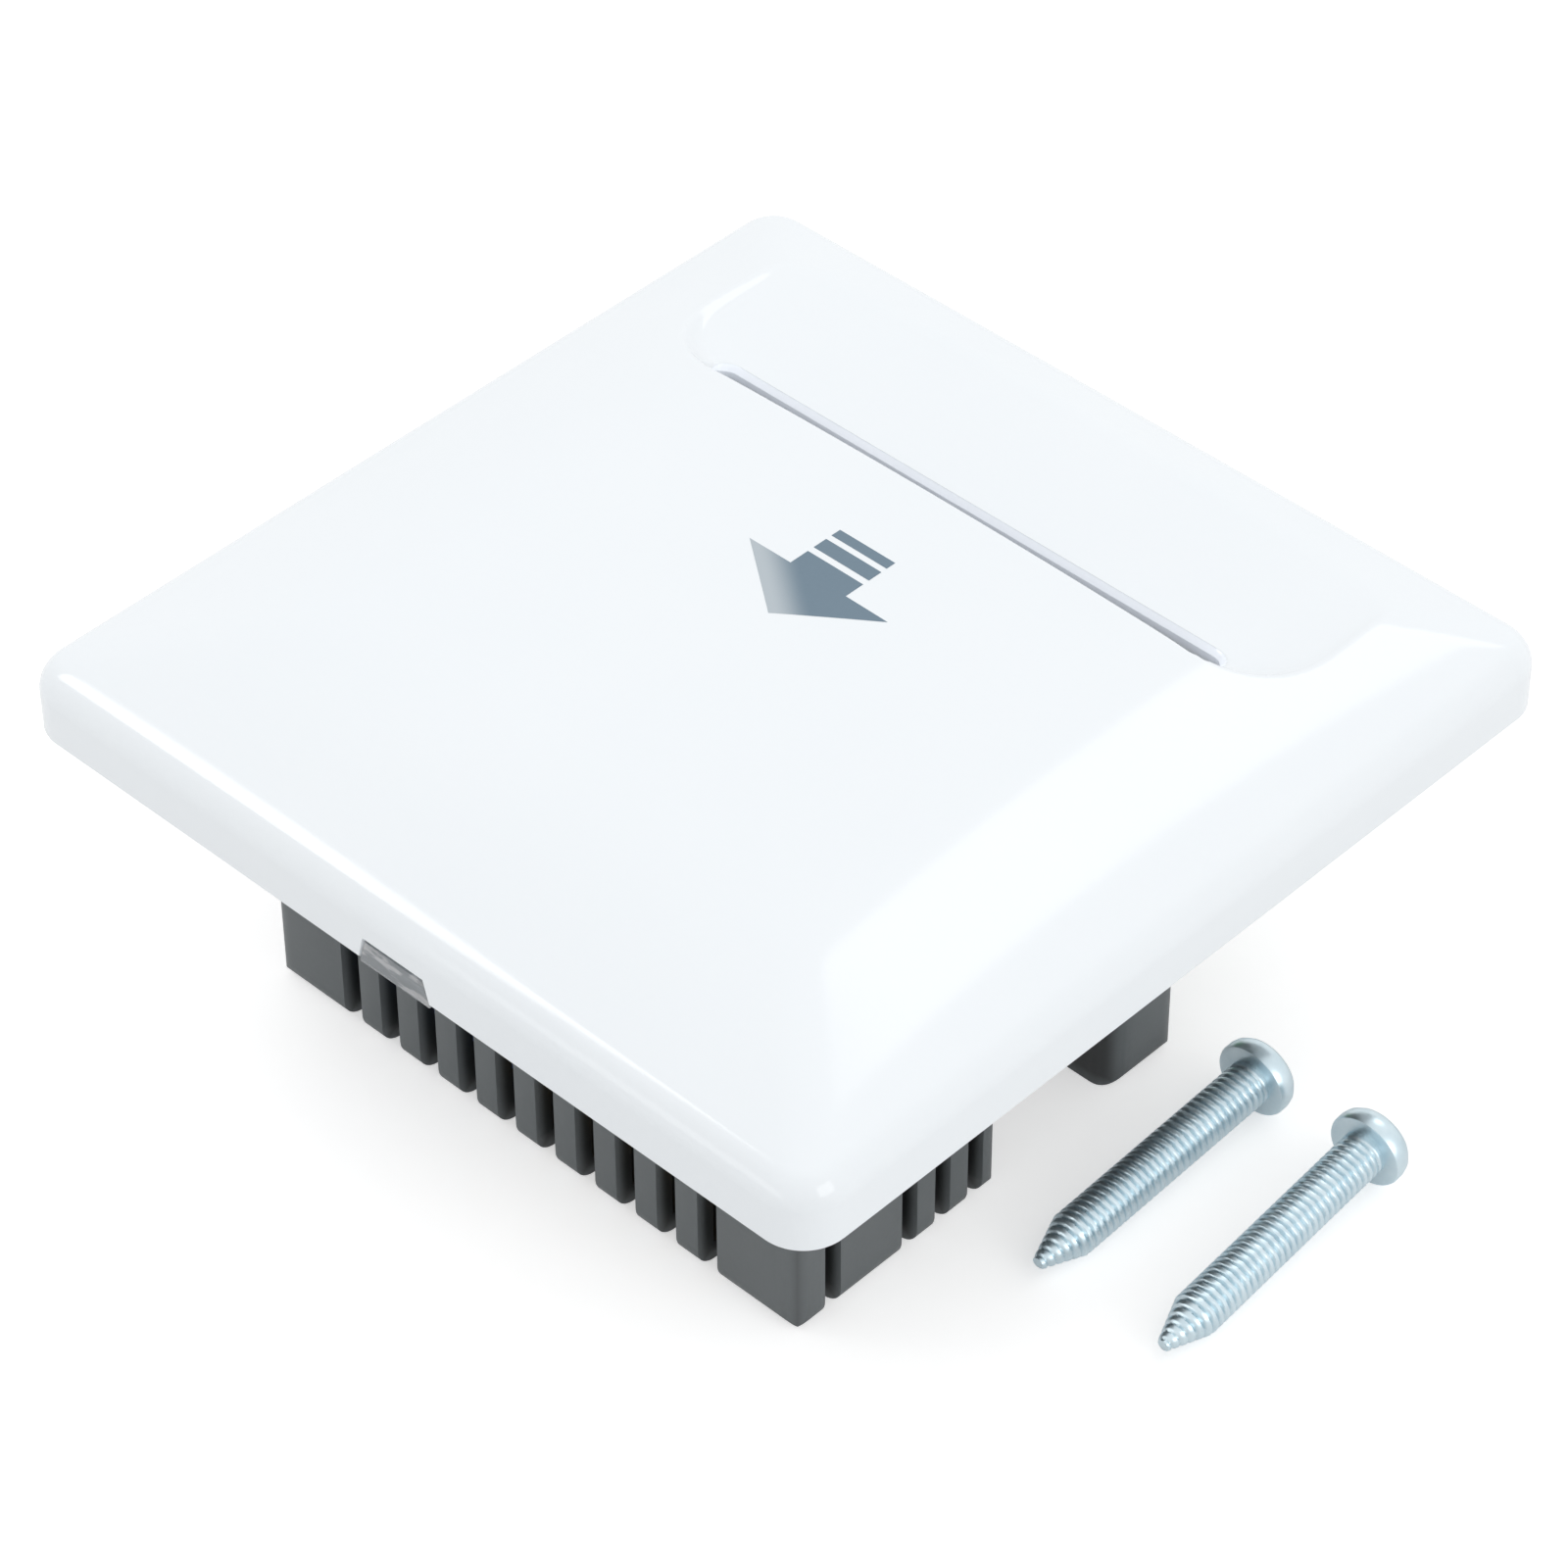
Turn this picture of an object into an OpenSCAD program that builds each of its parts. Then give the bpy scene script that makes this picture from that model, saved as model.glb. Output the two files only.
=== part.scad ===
// Hotel key card switch for a square wall box. A domed cover with a card slot snaps on a screw
// frame. The frame carries the card tray, its lever and the power board in a finned rear housing.
// X runs along the card slot, Y towards it, Z out of the face. The wall plane is z = 0.

/* [Cover] */
// Width and height of the front cover
plate_w = 86; // [84:0.5:92]
// Wall thickness of the cover moulding
cover_wall = 1.6; // [1.2:0.1:1.8]
// Radius of the cover's corners in plan
corner_r = 4; // [3:0.5:7]
// Height of the rim
rim_h = 5.8; // [5.4:0.1:6.4]
// Height of the face at its centre
face_h = 11.5; // [11:0.1:13]
// Drop of the domed face from its centre to the rim
dome_drop = 1.6; // [1.2:0.1:2]
// Width of the roll-off between the rim and the face
roll_w = 20; // [17:1:24]
// Rounding between the rim and the roll-off
rim_round = 1.8; // [1:0.1:2.4]
// Softness of the hips where two roll-offs meet
hip_r = 2.5; // [1:0.5:4]
// Width of the light window at the foot of the rim
window_w = 7.8; // [6:0.2:10]
// Height of the light window
window_h = 2.2; // [1.8:0.1:2.6]

/* [Card slot] */
// Width of the key card
card_w = 54; // [50:0.5:56]
// Side play of the card in the slot
card_play = 0.6; // [0.5:0.1:1.2]
// Distance of the slot's lip from the centre
slot_y = 18; // [17:0.2:19.4]
// Gap between the lip and the scoop floor, in plan
slot_w = 3.1; // [2.8:0.1:3.6]
// Clear height between the scoop floor and the lip
slot_clear = 0.9; // [0.8:0.1:1.1]
// Height of the scoop floor over the wall
scoop_h = 8.5; // [8.2:0.1:8.7]
// Slope of the scoop's two flanks, in degrees
scoop_slope = 4; // [2:0.5:6]
// Width of the scoop in plan
scoop_w = 70; // [66:0.5:72]
// Corner radius of the scoop in plan
scoop_r = 8.5; // [6:0.5:10]

/* [Screw frame] */
// Distance between the two fixing screws
screw_pitch = 60.3; // [58:0.1:62]
// Width of the fixing slots
fix_w = 4.5; // [4.2:0.1:5]
// End-to-end length of the fixing slots
fix_l = 7; // [5.5:0.5:8]
// Thickness of the frame plate
frame_t = 2.4; // [2:0.1:2.6]
// Radius of the cover's snap pegs
peg_r = 1.5; // [1.2:0.1:1.8]
// Distance of the snap pegs from the centre, along X and Y
peg_at = 35; // [34:0.5:36]

/* [Rear housing] */
// Width of the rear housing
box_w = 60; // [58:0.2:62]
// Reach of the housing below the centre
box_low = 30.25; // [29.5:0.25:32]
// Reach of the deep part of the housing above the centre
box_high = 14.9; // [14.2:0.1:16]
// Depth of the housing behind the wall plane
box_d = 27.5; // [26.5:0.5:34]
// Wall thickness of the housing
box_wall = 1.8; // [1.4:0.1:2.2]
// Radius of the housing's upright edges
box_r = 2.5; // [2:0.5:4]
// Radius of the housing's rear edges
box_edge_r = 2; // [1:0.5:3]
// Width of the vent slits in the front wall
slit_w = 2.1; // [1.4:0.1:2.4]
// Spacing of the vent slits in the front wall
slit_pitch = 4.5; // [3.8:0.1:4.8]
// Number of vent slits in the front wall
slit_count = 10; // [4:1:10]
// Width of the vent slits in the side walls
side_slit_w = 1.75; // [1.2:0.05:2]
// Spacing of the vent slits in the side walls
side_slit_pitch = 3.8; // [3.4:0.1:4]
// Height of the notches that clear the wall box lugs
lug_h = 13; // [12:0.5:14]
// Depth of the notches that clear the wall box lugs
lug_d = 6.75; // [6:0.25:7.5]
// Reach of the shallow terminal bay above the centre
bay_high = 30.5; // [30.25:0.25:32]

/* [Card tray] */
// Thickness of the tray floor
tray_t = 1.6; // [1.2:0.1:1.8]
// Height of the tray floor's top over the wall
tray_h = 5.6; // [5.4:0.1:5.8]
// Height of the tray rails over the floor
rail_h = 1; // [0.8:0.1:1.1]
// Thickness of the tray rails
rail_t = 1.2; // [0.9:0.1:1.5]
// Distance of the card stop below the centre
stop_y = 28.6; // [27:0.2:29]
// Width of the card springs
leaf_w = 4; // [3:0.5:5]
// Thickness of the card springs' strip
leaf_t = 0.3; // [0.2:0.05:0.4]

/* [Lever and switch] */
// Width of the card lever
lever_w = 6; // [5:0.5:7]
// Distance of the lever's pivot below the centre
pivot_y = 2; // [1:0.5:3]
// Height of the lever's pivot over the wall
pivot_z = 1.5; // [1.3:0.1:1.7]
// Radius of the lever's pivot pin
pin_r = 1; // [0.8:0.05:1.2]
// Distance from the pivot to the tip of the lever's nose
nose_reach = 16.5; // [15.5:0.5:17]
// Rise of the lever's nose over the tray floor
nose_rise = 2; // [1.6:0.1:2.2]
// Distance from the pivot to the switch plunger
plunger_reach = 8; // [7.5:0.25:8.5]
// Radius of the switch plunger
plunger_r = 0.85; // [0.7:0.05:1.2]
// Width of the sensing switch
switch_w = 12.8; // [11:0.2:14]
// Thickness of the sensing switch
switch_t = 5.8; // [5:0.2:6.4]
// Height of the sensing switch
switch_h = 6.5; // [6:0.1:7.5]

/* [Circuit board] */
// Thickness of the circuit board
board_t = 1.6; // [1:0.1:2]
// Width of the narrow part of the board
board_stem_w = 29.2; // [28.8:0.2:29.6]
// Width of the relay
relay_w = 15.5; // [14:0.5:17]
// Length of the relay
relay_l = 18; // [15:0.5:18]
// Diameter of the smoothing capacitor
can_d = 10; // [8:0.5:11]
// Diameter of the indicator lamp
lamp_d = 3; // [2.5:0.5:4]

/* [Terminals] */
// Number of wire terminals
pole_count = 4; // [2:1:4]
// Spacing of the wire terminals
pole_pitch = 7; // [6.8:0.1:7]
// Diameter of a wire entry
wire_d = 3.8; // [3:0.1:4]
// Height of the terminal block
block_h = 12; // [11.5:0.5:14]
// Depth of the terminal block
block_l = 12.6; // [12:0.2:13]

/* [Mounting screws] */
// Thread diameter of the mounting screws
screw_d = 4; // [3.5:0.1:4.2]
// Length of the mounting screws under the head
screw_l = 25.5; // [20:0.5:40]
// Head diameter of the mounting screws
head_d = 6.8; // [6.5:0.1:8]
// Head height of the mounting screws
head_h = 2.6; // [2:0.1:3]

/* [Hidden] */
$fn = 48;
// Running clearance of a pin or plunger in its bore
run_gap = 0.05;
// Clearance between seated mouldings
seat_gap = 0.2;
// Overshoot of a cut past the face it opens
over = 1;

// Cover shape
half = plate_w / 2;
inner_half = half - cover_wall;
dome_k = dome_drop / (half * half);
crest_rim = rim_h + dome_drop;
corner_steps = 5;
side_steps = 7;
round_steps = 4;
roll_steps = 6;
field_steps = 4;
cavity_steps = 8;
window_top_w = window_w - 1.2;
window_flare = (window_w - window_top_w) / window_h * over;

// Card slot
slot_l = card_w + 2 * card_play;
lip_h = scoop_h + slot_clear;

// Screw frame
frame_gap = 0.4;
frame_half = inner_half - frame_gap;
frame_r = max(corner_r - cover_wall - frame_gap, 1);
peg_gap = 0.1;
peg_foot = 0.4;
collar_r = peg_r + peg_gap + 1.2;
collar_h = 0.8;
rib_t = 1.4;
rib_h = 1;
rib_end_gap = 6;
rib_half = peg_at - collar_r - rib_end_gap;
fix_x = screw_pitch / 2;

// Rear housing, and the depth of the rebate in the frame that seats it
seat_d = 0.5;
box_half = box_w / 2;
cav_half = box_half - box_wall;
cav_floor = box_wall - box_d;
lug_x = box_half - lug_d;
slit_bite = 0.8;
slit_depth = box_wall + slit_bite;
slit_top = 2.5;
corner_slit_in = 3.95;
corner_slit_y = box_low - corner_slit_in;
side_slit_in = 3.5;
side_slit_y = lug_h / 2 + side_slit_in;
side_slit_count = 3;
// Least radius inside the housing, and the least flat left between two roundings
least_r = 0.4;
small_step = 0.1;
bay_gap = 0.3;
bay_half = board_stem_w / 2 + bay_gap + box_wall;

// Small screws
small_r = 1.1;
small_head_r = 2;
small_head_h = 1.4;
head_gap = 0.4;
small_bore_r = small_r + run_gap;
small_free_r = small_r + 0.25;
// Straight part of a pan head's height, and the radius of its dome against the head's own
pan_edge = 0.55;
pan_dome = 1.6;

// Lever, switch and board heights
lever_t = 2;
lever_under = pivot_z - lever_t / 2 - 0.1;
hub_r = pin_r + 1.2;
nose_y = -pivot_y - nose_reach;
lever_end = 1.9;
nose_flat = 0.7;
nose_back = 3;
nose_edge = 0.9;
nose_top = tray_h + nose_rise;
plunger_y = -pivot_y - plunger_reach;
plunger_gap = 0.25;
plunger_top = lever_under - plunger_gap;
plunger_free = 1.35;
plunger_in = 2;
plunger_room = 1.6;
case_edge_r = 0.5;
case_hole_in = 3;
case_hole_up = 2;
case_hole_r = 1;
case_top = plunger_top - plunger_free;
board_top = case_top - switch_h;
board_low = board_top - board_t;

// Pillars that take the housing screws, and standoffs that take the board
pillar_r = 2.5;
pillar_wall = 0.1;
pillar_in = 3.7;
front_pillar = [cav_half - pillar_r - pillar_wall, -box_low + box_wall + pillar_r + pillar_in];
rear_pillar = [lug_x - box_wall - pillar_r - pillar_wall, box_high - box_wall - pillar_r - pillar_wall];
boss_h = 3.6;
boss_gap = 0.1;
pillar_end = cav_floor + boss_h;
head_sink = 2;
pillar_bite = 7;
standoff_r = 2.2;
standoff_in = 3.2;
standoff_edge = 0.6;
board_bite = 5;
front_standoff = [cav_half - standoff_r - standoff_in, -lug_h / 2 - box_wall - standoff_r - standoff_edge];
rear_standoff = [
    min(board_stem_w / 2, rear_pillar[0] - pillar_r - seat_gap) - standoff_r - standoff_edge,
    box_high - box_wall - standoff_r - seat_gap
];
pillars = [front_pillar, rear_pillar];
standoffs = [front_standoff, rear_standoff];

// Circuit board
board_gap = 0.6;
board_free = 0.5;
board_wing = cav_half - board_gap;
board_front = -box_low + box_wall + board_gap;
board_step = -lug_h / 2 - box_wall - board_gap;
board_back = bay_high - box_wall - bay_gap;

// Card tray
tray_z = tray_h - tray_t;
card_half = card_w / 2;
rail_x = card_half + card_play / 2;
tray_half = rail_x + rail_t;
tray_low = stop_y + rail_t;
tray_back = 0.8;
tray_high = slot_y - cover_wall - tray_back;
tongue_back = 0.4;
tongue_high = slot_y + slot_w - tongue_back;
tongue_in = 0.5;
tongue_half = card_half - tongue_in;
ear_r = 3;
ear_lap = 0.4;
ear_x = tray_half + ear_r - ear_lap;
ear_ys = [-18, 12];
ear_h = 1.8;
tray_bite = 1.5;
tip_gap = 0.2;
lever_room = 0.5;
window_half = lever_w / 2 + lever_room;
lug_room = 4;
opening_half = window_half + lug_room;
opening_low = nose_y - lever_end - over;
hub_room = 2;
opening_high = -pivot_y + hub_r + hub_room;
lug_t = 2;
// Slope and length of the ramp that lifts the card on to the tray
ramp_a = -20;
ramp_l = 3;
driver_r = head_d / 2 + 1.1;
leaf_l = 18;
leaf_rise = 1.2;
leaf_bow_r = (leaf_l * leaf_l / 4 + leaf_rise * leaf_rise) / (2 * leaf_rise);
leaf_pocket = 0.9;
leaf_x = 16;
leaf_y = 1;

// Light pipe and lamp
lamp_y = -25;
lamp_h = 5;
pipe_leg_l = 3;
pipe_h = 2;
pipe_sag = 0.3;
pipe_gap = 0.1;
pipe_leg_low = board_top + lamp_h + 0.3;
pipe_w = window_w - 2 * pipe_gap;
pipe_top_w = window_top_w - 2 * pipe_gap;

// Terminal block
block_w = pole_count * pole_pitch + 1;
block_y = box_high + seat_gap;
block_low = board_low - block_h;
block_high = block_y + block_l;
pole_xs = [for (i = [0:pole_count - 1]) (i - (pole_count - 1) / 2) * pole_pitch];
cage_t = 0.9;
cage_w = wire_d + 2 * cage_t;
cage_l = 5.6;
cage_up = 1.3;
cage_floor = block_low + cage_up;
cage_h = wire_d + 2 * cage_t;
cage_in = 2.6;
cage_y = block_y + cage_in;
wire_z = cage_floor + cage_h / 2;
clamp_r = 1.4;
clamp_head_r = 2;
clamp_slot_w = 0.7;
clamp_slot_d = 0.8;
clamp_gap = 0.3;
clamp_sink = 0.2;
clamp_tail = 0.8;

// Parts on the board's underside
part_gap = 1;
part_clear = 1.4;
relay_h = board_low - cav_floor - part_clear;
relay_x = max(-front_pillar[0] + pillar_r, -front_standoff[0] + small_head_r, box_wall - lug_x) + part_gap;
relay_y = board_front + part_gap;
relay_edge_r = 0.8;
film_l = 9;
film_h = relay_h - part_gap;
film_x = relay_x + relay_w + 2 * part_gap;
can_l = relay_h - part_gap;
can_at = [4, -lug_h / 2 + can_d / 2];
can_edge = 0.6;
can_groove = 0.5;
can_groove_in = 2.6;
varistor_at = [-8, -1];
varistor_r = 5;
varistor_t = 3.6;
varistor_edge = 0.8;
varistor_z = board_low - varistor_r - part_gap;
lead_r = 0.4;
lead_x = 2.5;
fuse_l = 14;
fuse_r = 2.2;
fuse_in = 5.8;
fuse_y = box_high - box_wall - fuse_in;
fuse_up = 1.2;
fuse_z = board_low - fuse_r - fuse_up;
cap_l = 3;
cap_t = 0.3;
foot_w = 1.6;
foot_t = 0.6;
chip_l = 9.4;
chip_w = 6.4;
chip_t = 3.2;
chip_lift = 0.5;
chip_leg_w = 0.5;
chip_leg_t = 0.8;
chip_leg_pitch = 2.5;
chip_at = [film_x, board_front + film_l + 3 * part_gap];
resistor_l = 6.4;
resistor_r = 1.1;
resistor_lift = 0.4;
resistor_wire_r = 0.3;
resistor_pitch = 2.6;
resistor_at = [chip_at[0] + chip_l + 2 * part_gap, chip_at[1] - 0.6];

// Loose screws: the place of each tip on the floor, and its turn from Y
screw_places = [[39.05, -12.7, -0.1], [51.75, -12.5, 2.4]];
tip_r = 0.3;
tip_l = 4;
screw_tilt = atan((head_d - screw_d) / 2 / (screw_l - tip_l));
tip_z = screw_d / 2 * cos(screw_tilt) - tip_l * sin(screw_tilt) - box_d;

// Crest height at a distance from the cover's edge, before the doming
function crest(m) = crest_rim + (face_h - crest_rim) * (1 - pow(max(1 - m / roll_w, 0), 2));
// Fall of the rounded rim at a distance from the cover's edge
function rim_fall(m) =
    m < rim_round ? rim_round - sqrt(rim_round * rim_round - pow(rim_round - m, 2)) : 0;
// Fall of the domed face at a point in plan, even all along the rim
function dome_fall(x, y) = dome_k * (x * x + y * y - x * x * y * y / (half * half));
// Height of the face over the wall at a point in plan
function face_z(x, y) =
    let (m = half - max(abs(x), abs(y)))
    crest(m) - rim_fall(m) - dome_fall(x, y);
// A point turned by quarter turns about Z
function spin(p, q) = q == 0 ? p : spin([-p[1], p[0]], q - 1);
// One quarter of a rounded square: a corner arc, then the next side
function quarter(s, r) = concat(
    [for (i = [0:corner_steps])
        let (a = 90 * i / corner_steps)
        [s - r + r * cos(a), s - r + r * sin(a)]],
    [for (j = [1:side_steps - 1]) [(s - r) * (1 - 2 * j / side_steps), s]]
);
function rounded_outline(s, r) = [for (q = [0:3]) each [for (p = quarter(s, r)) spin(p, q)]];
// One ring of the domed face at an inset from the edge, sunk by a wall
function face_ring(inset, sink) =
    let (s = half - inset, r = min(max(corner_r - inset, hip_r), s * 0.9))
    [for (p = rounded_outline(s, r))
        [p[0], p[1], crest(inset) - rim_fall(inset) - dome_fall(p[0], p[1]) - sink]];

// A solid lofted through rings from a flat base to an apex on the Z axis, with one flat wall per side
module lofted(rings, base_z) {
    n = len(rings[0]);
    k = len(rings);
    corner_n = corner_steps + 1;
    quarter_n = n / 4;
    base_n = 4 * corner_n;
    base = [for (q = [0:3]) for (i = [0:corner_steps])
        let (p = rings[0][q * quarter_n + i])
        [p[0], p[1], base_z]];
    last = rings[k - 1][0];
    apex = [0, 0, last[2] + dome_fall(last[0], last[1])];
    points = concat(base, [for (ring = rings) each ring], [apex]);
    top = base_n + k * n;
    faces = concat(
        [[for (i = [0:base_n - 1]) i]],
        [for (q = [0:3]) for (i = [0:corner_steps - 1])
            let (a = q * corner_n + i, b = base_n + q * quarter_n + i)
            each [[a, b, a + 1], [a + 1, b, b + 1]]],
        [for (q = [0:3]) concat(
            [q * corner_n + corner_steps],
            [for (i = [corner_steps:quarter_n]) base_n + (q * quarter_n + i) % n],
            [(q + 1) % 4 * corner_n]
        )],
        [for (level = [0:k - 2]) for (i = [0:n - 1])
            let (a = base_n + level * n + i, b = base_n + level * n + (i + 1) % n)
            each [[a, a + n, b], [b, a + n, b + n]]],
        [for (i = [0:n - 1]) [top - n + i, top, top - n + (i + 1) % n]]
    );
    polyhedron(points, faces, convexity = 4);
}

module rounded_rect(x0, y0, x1, y1, r) {
    translate([x0 + r, y0]) square([x1 - x0 - 2 * r, y1 - y0]);
    translate([x0, y0 + r]) square([x1 - x0, y1 - y0 - 2 * r]);
    for (x = [x0 + r, x1 - r]) for (y = [y0 + r, y1 - r]) translate([x, y]) circle(r);
}

module slot_plan(l, w) {
    square([l - w, w], center = true);
    for (s = [-1, 1]) translate([s * (l - w) / 2, 0]) circle(w / 2);
}

// A block from z0 to z1 over a rounded rectangle
module slab(x0, y0, x1, y1, r, z0, z1) {
    translate([0, 0, z0]) linear_extrude(z1 - z0) rounded_rect(x0, y0, x1, y1, r);
}

module block(x0, y0, z0, x1, y1, z1) {
    translate([x0, y0, z0]) cube([x1 - x0, y1 - y0, z1 - z0]);
}

module post(x, y, r, z0, z1) {
    translate([x, y, z0]) cylinder(r = r, h = z1 - z0);
}

// Copies at the mirrored places of a point, left and right
module both_sides(p) {
    for (s = [-1, 1]) translate([s * p[0], p[1], 0]) children();
}

// A pan-head screw along +Z with its head above z = 0
module pan_screw(r, l, hr, hh) {
    translate([0, 0, -l]) cylinder(r = r, h = l);
    cylinder(r = hr, h = hh * pan_edge);
    intersection() {
        cylinder(r = hr, h = hh);
        translate([0, 0, hh - hr * pan_dome]) sphere(hr * pan_dome);
    }
}

// The scoop over its flat floor and sloped flanks, grown by a wall for the underside
module scoop_form(grow) {
    floor_half = slot_l / 2;
    floor_z = scoop_h - grow;
    flank_z = floor_z + (half - floor_half) * tan(scoop_slope);
    top_z = face_h + over;
    intersection() {
        translate([0, half + over, 0]) rotate([90, 0, 0]) linear_extrude(half + over - slot_y + grow)
            polygon([
                [-floor_half, floor_z], [floor_half, floor_z], [half, flank_z],
                [half, top_z], [-half, top_z], [-half, flank_z]
            ]);
        linear_extrude(top_z) rounded_rect(
            -scoop_w / 2 - grow, slot_y - grow,
            scoop_w / 2 + grow, half + over + scoop_r + grow, scoop_r + grow
        );
    }
}

// The way of the card: the gap in plan, and the passage under the lip
module card_way() {
    translate([0, slot_y + slot_w / 2, 0]) linear_extrude(lip_h) slot_plan(slot_l, slot_w);
    block(-slot_l / 2, slot_y - cover_wall - over, 0, slot_l / 2, slot_y + slot_w / 2, lip_h);
}

// A trapezoid bar along Y, as wide as the light window
module window_bar(foot_w, top_w, z0, z1, y0, y1) {
    translate([0, y1, 0]) rotate([90, 0, 0]) linear_extrude(y1 - y0)
        polygon([[-foot_w / 2, z0], [foot_w / 2, z0], [top_w / 2, z1], [-top_w / 2, z1]]);
}

module front_cover() color("white") {
    round_insets = [for (i = [0:round_steps]) rim_round * (1 - cos(90 * i / round_steps))];
    roll_insets = [for (i = [1:roll_steps]) rim_round + (roll_w - rim_round) * i / roll_steps];
    field_insets = [for (i = [1:field_steps - 1]) roll_w + (half - roll_w) * i / field_steps];
    cavity_insets = [for (i = [0:cavity_steps - 1]) cover_wall + inner_half * i / (cavity_steps + 0.5)];
    difference() {
        union() {
            difference() {
                lofted([for (m = concat(round_insets, roll_insets, field_insets)) face_ring(m, 0)], 0);
                difference() {
                    lofted([for (m = cavity_insets) face_ring(m, cover_wall)], -over);
                    scoop_form(cover_wall);
                }
            }
            for (x = [-peg_at, peg_at]) for (y = [-peg_at, peg_at])
                post(x, y, peg_r, peg_foot, face_z(peg_at, peg_at) - cover_wall / 2);
        }
        scoop_form(0);
        card_way();
        window_bar(window_w + window_flare, window_top_w, -over, window_h, -half - over, -inner_half + over);
    }
}

module mounting_frame() color("gainsboro") difference() {
    union() {
        difference() {
            slab(-frame_half, -frame_half, frame_half, frame_half, frame_r, 0, frame_t);
            translate([0, 0, -over]) linear_extrude(over + seat_d) seat_plan();
        }
        for (q = [0:3]) rotate(90 * q)
            block(-rib_half, frame_half - rib_t, frame_t, rib_half, frame_half, frame_t + rib_h);
        for (x = [-peg_at, peg_at]) for (y = [-peg_at, peg_at])
            post(x, y, collar_r, frame_t, frame_t + collar_h);
        for (p = pillars) both_sides(p) post(0, 0, pillar_r, pillar_end, frame_t / 2);
        for (p = standoffs) both_sides(p) post(0, 0, standoff_r, board_top, frame_t / 2);
    }
    for (x = [-peg_at, peg_at]) for (y = [-peg_at, peg_at])
        post(x, y, peg_r + peg_gap, -over, frame_t + collar_h + over);
    for (x = [-fix_x, fix_x]) translate([x, 0, -over])
        linear_extrude(frame_t + 2 * over) slot_plan(fix_l, fix_w);
    block(-opening_half, opening_low, -over, opening_half, opening_high, frame_t + over);
    window_bar(
        window_w, window_w, -over, frame_t + rib_h + over,
        -frame_half - over, lamp_y + pipe_leg_l / 2 + pipe_gap
    );
    for (y = ear_ys) both_sides([ear_x, y])
        post(0, 0, small_bore_r, frame_t - tray_bite - tip_gap, frame_t + over);
    for (p = pillars) both_sides(p)
        post(0, 0, small_bore_r, pillar_end - over, pillar_end + pillar_bite + over);
    for (p = standoffs) both_sides(p)
        post(0, 0, small_bore_r, board_top - over, board_top + board_bite + over);
}

module light_pipe() color("lightgray", 0.6) {
    leg_y = lamp_y - pipe_leg_l / 2;
    window_bar(pipe_w, pipe_top_w, 0, pipe_h, -half + pipe_gap, lamp_y + pipe_leg_l / 2);
    window_bar(pipe_w, pipe_w, -pipe_sag, 0.2, -half + pipe_gap, -frame_half);
    block(-pipe_top_w / 2, leg_y, pipe_leg_low, pipe_top_w / 2, leg_y + pipe_leg_l, pipe_h / 2);
}

module card_tray() color("whitesmoke") difference() {
    union() {
        block(-tray_half, -tray_low, tray_z, tray_half, tray_high, tray_h);
        block(-tongue_half, tray_high - over, tray_z, tongue_half, tongue_high, tray_h);
        for (s = [-1, 1]) translate([s * (rail_x + rail_t / 2), 0, 0])
            block(-rail_t / 2, -tray_low, tray_h, rail_t / 2, tray_high, tray_h + rail_h);
        block(-rail_x, -tray_low, tray_h, rail_x, -stop_y, tray_h + rail_h);
        for (y = ear_ys) both_sides([ear_x, y]) post(0, 0, ear_r, frame_t, frame_t + ear_h);
        for (y = ear_ys) for (s = [-1, 1])
            block(
                s * ear_x - ear_r * (s + 1) / 2, y - ear_r, tray_z,
                s * ear_x + ear_r * (1 - s) / 2, y + ear_r, frame_t + ear_h
            );
        for (s = [-1, 1]) translate([s * (window_half + lug_t / 2), 0, 0]) {
            block(-lug_t / 2, -pivot_y - hub_r, pivot_z, lug_t / 2, -pivot_y + hub_r, tray_z + tray_t / 2);
            translate([-lug_t / 2, -pivot_y, pivot_z]) rotate([0, 90, 0]) cylinder(r = hub_r, h = lug_t);
        }
    }
    translate([-tray_half, -pivot_y, pivot_z]) rotate([0, 90, 0]) cylinder(r = pin_r, h = 2 * tray_half);
    block(
        -window_half, nose_y - lever_end - over, tray_z - over,
        window_half, nose_y + 2 * nose_back, tray_h + over
    );
    for (x = [-fix_x, fix_x]) post(x, 0, driver_r, 0, tray_h + rail_h + over);
    for (y = ear_ys) both_sides([ear_x, y]) post(0, 0, small_free_r, 0, tray_h + over);
    for (s = [-1, 1]) translate([s * leaf_x, leaf_y, 0])
        block(
            -leaf_w / 2 - seat_gap, -leaf_l / 2 - seat_gap, tray_h - leaf_pocket,
            leaf_w / 2 + seat_gap, leaf_l / 2 + seat_gap, tray_h + over
        );
    translate([-half, tongue_high, tray_z + tray_t / 2]) rotate([ramp_a, 0, 0]) {
        cube([plate_w, tray_t, tray_t]);
        mirror([0, 1, 0]) cube([plate_w, ramp_l, tray_t]);
    }
}

// A bowed strip along Y with its ends at z = 0
module leaf() {
    translate([-leaf_w / 2, 0, leaf_rise - leaf_bow_r]) rotate([90, 0, 90])
        linear_extrude(leaf_w) intersection() {
            difference() {
                circle(leaf_bow_r + leaf_t, $fn = 128);
                circle(leaf_bow_r, $fn = 128);
            }
            translate([-leaf_l / 2, leaf_bow_r - leaf_rise]) square([leaf_l, leaf_rise + leaf_t + over]);
        }
}

module card_springs() color("goldenrod") for (s = [-1, 1])
    translate([s * leaf_x, leaf_y, tray_h - leaf_pocket]) leaf();

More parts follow.
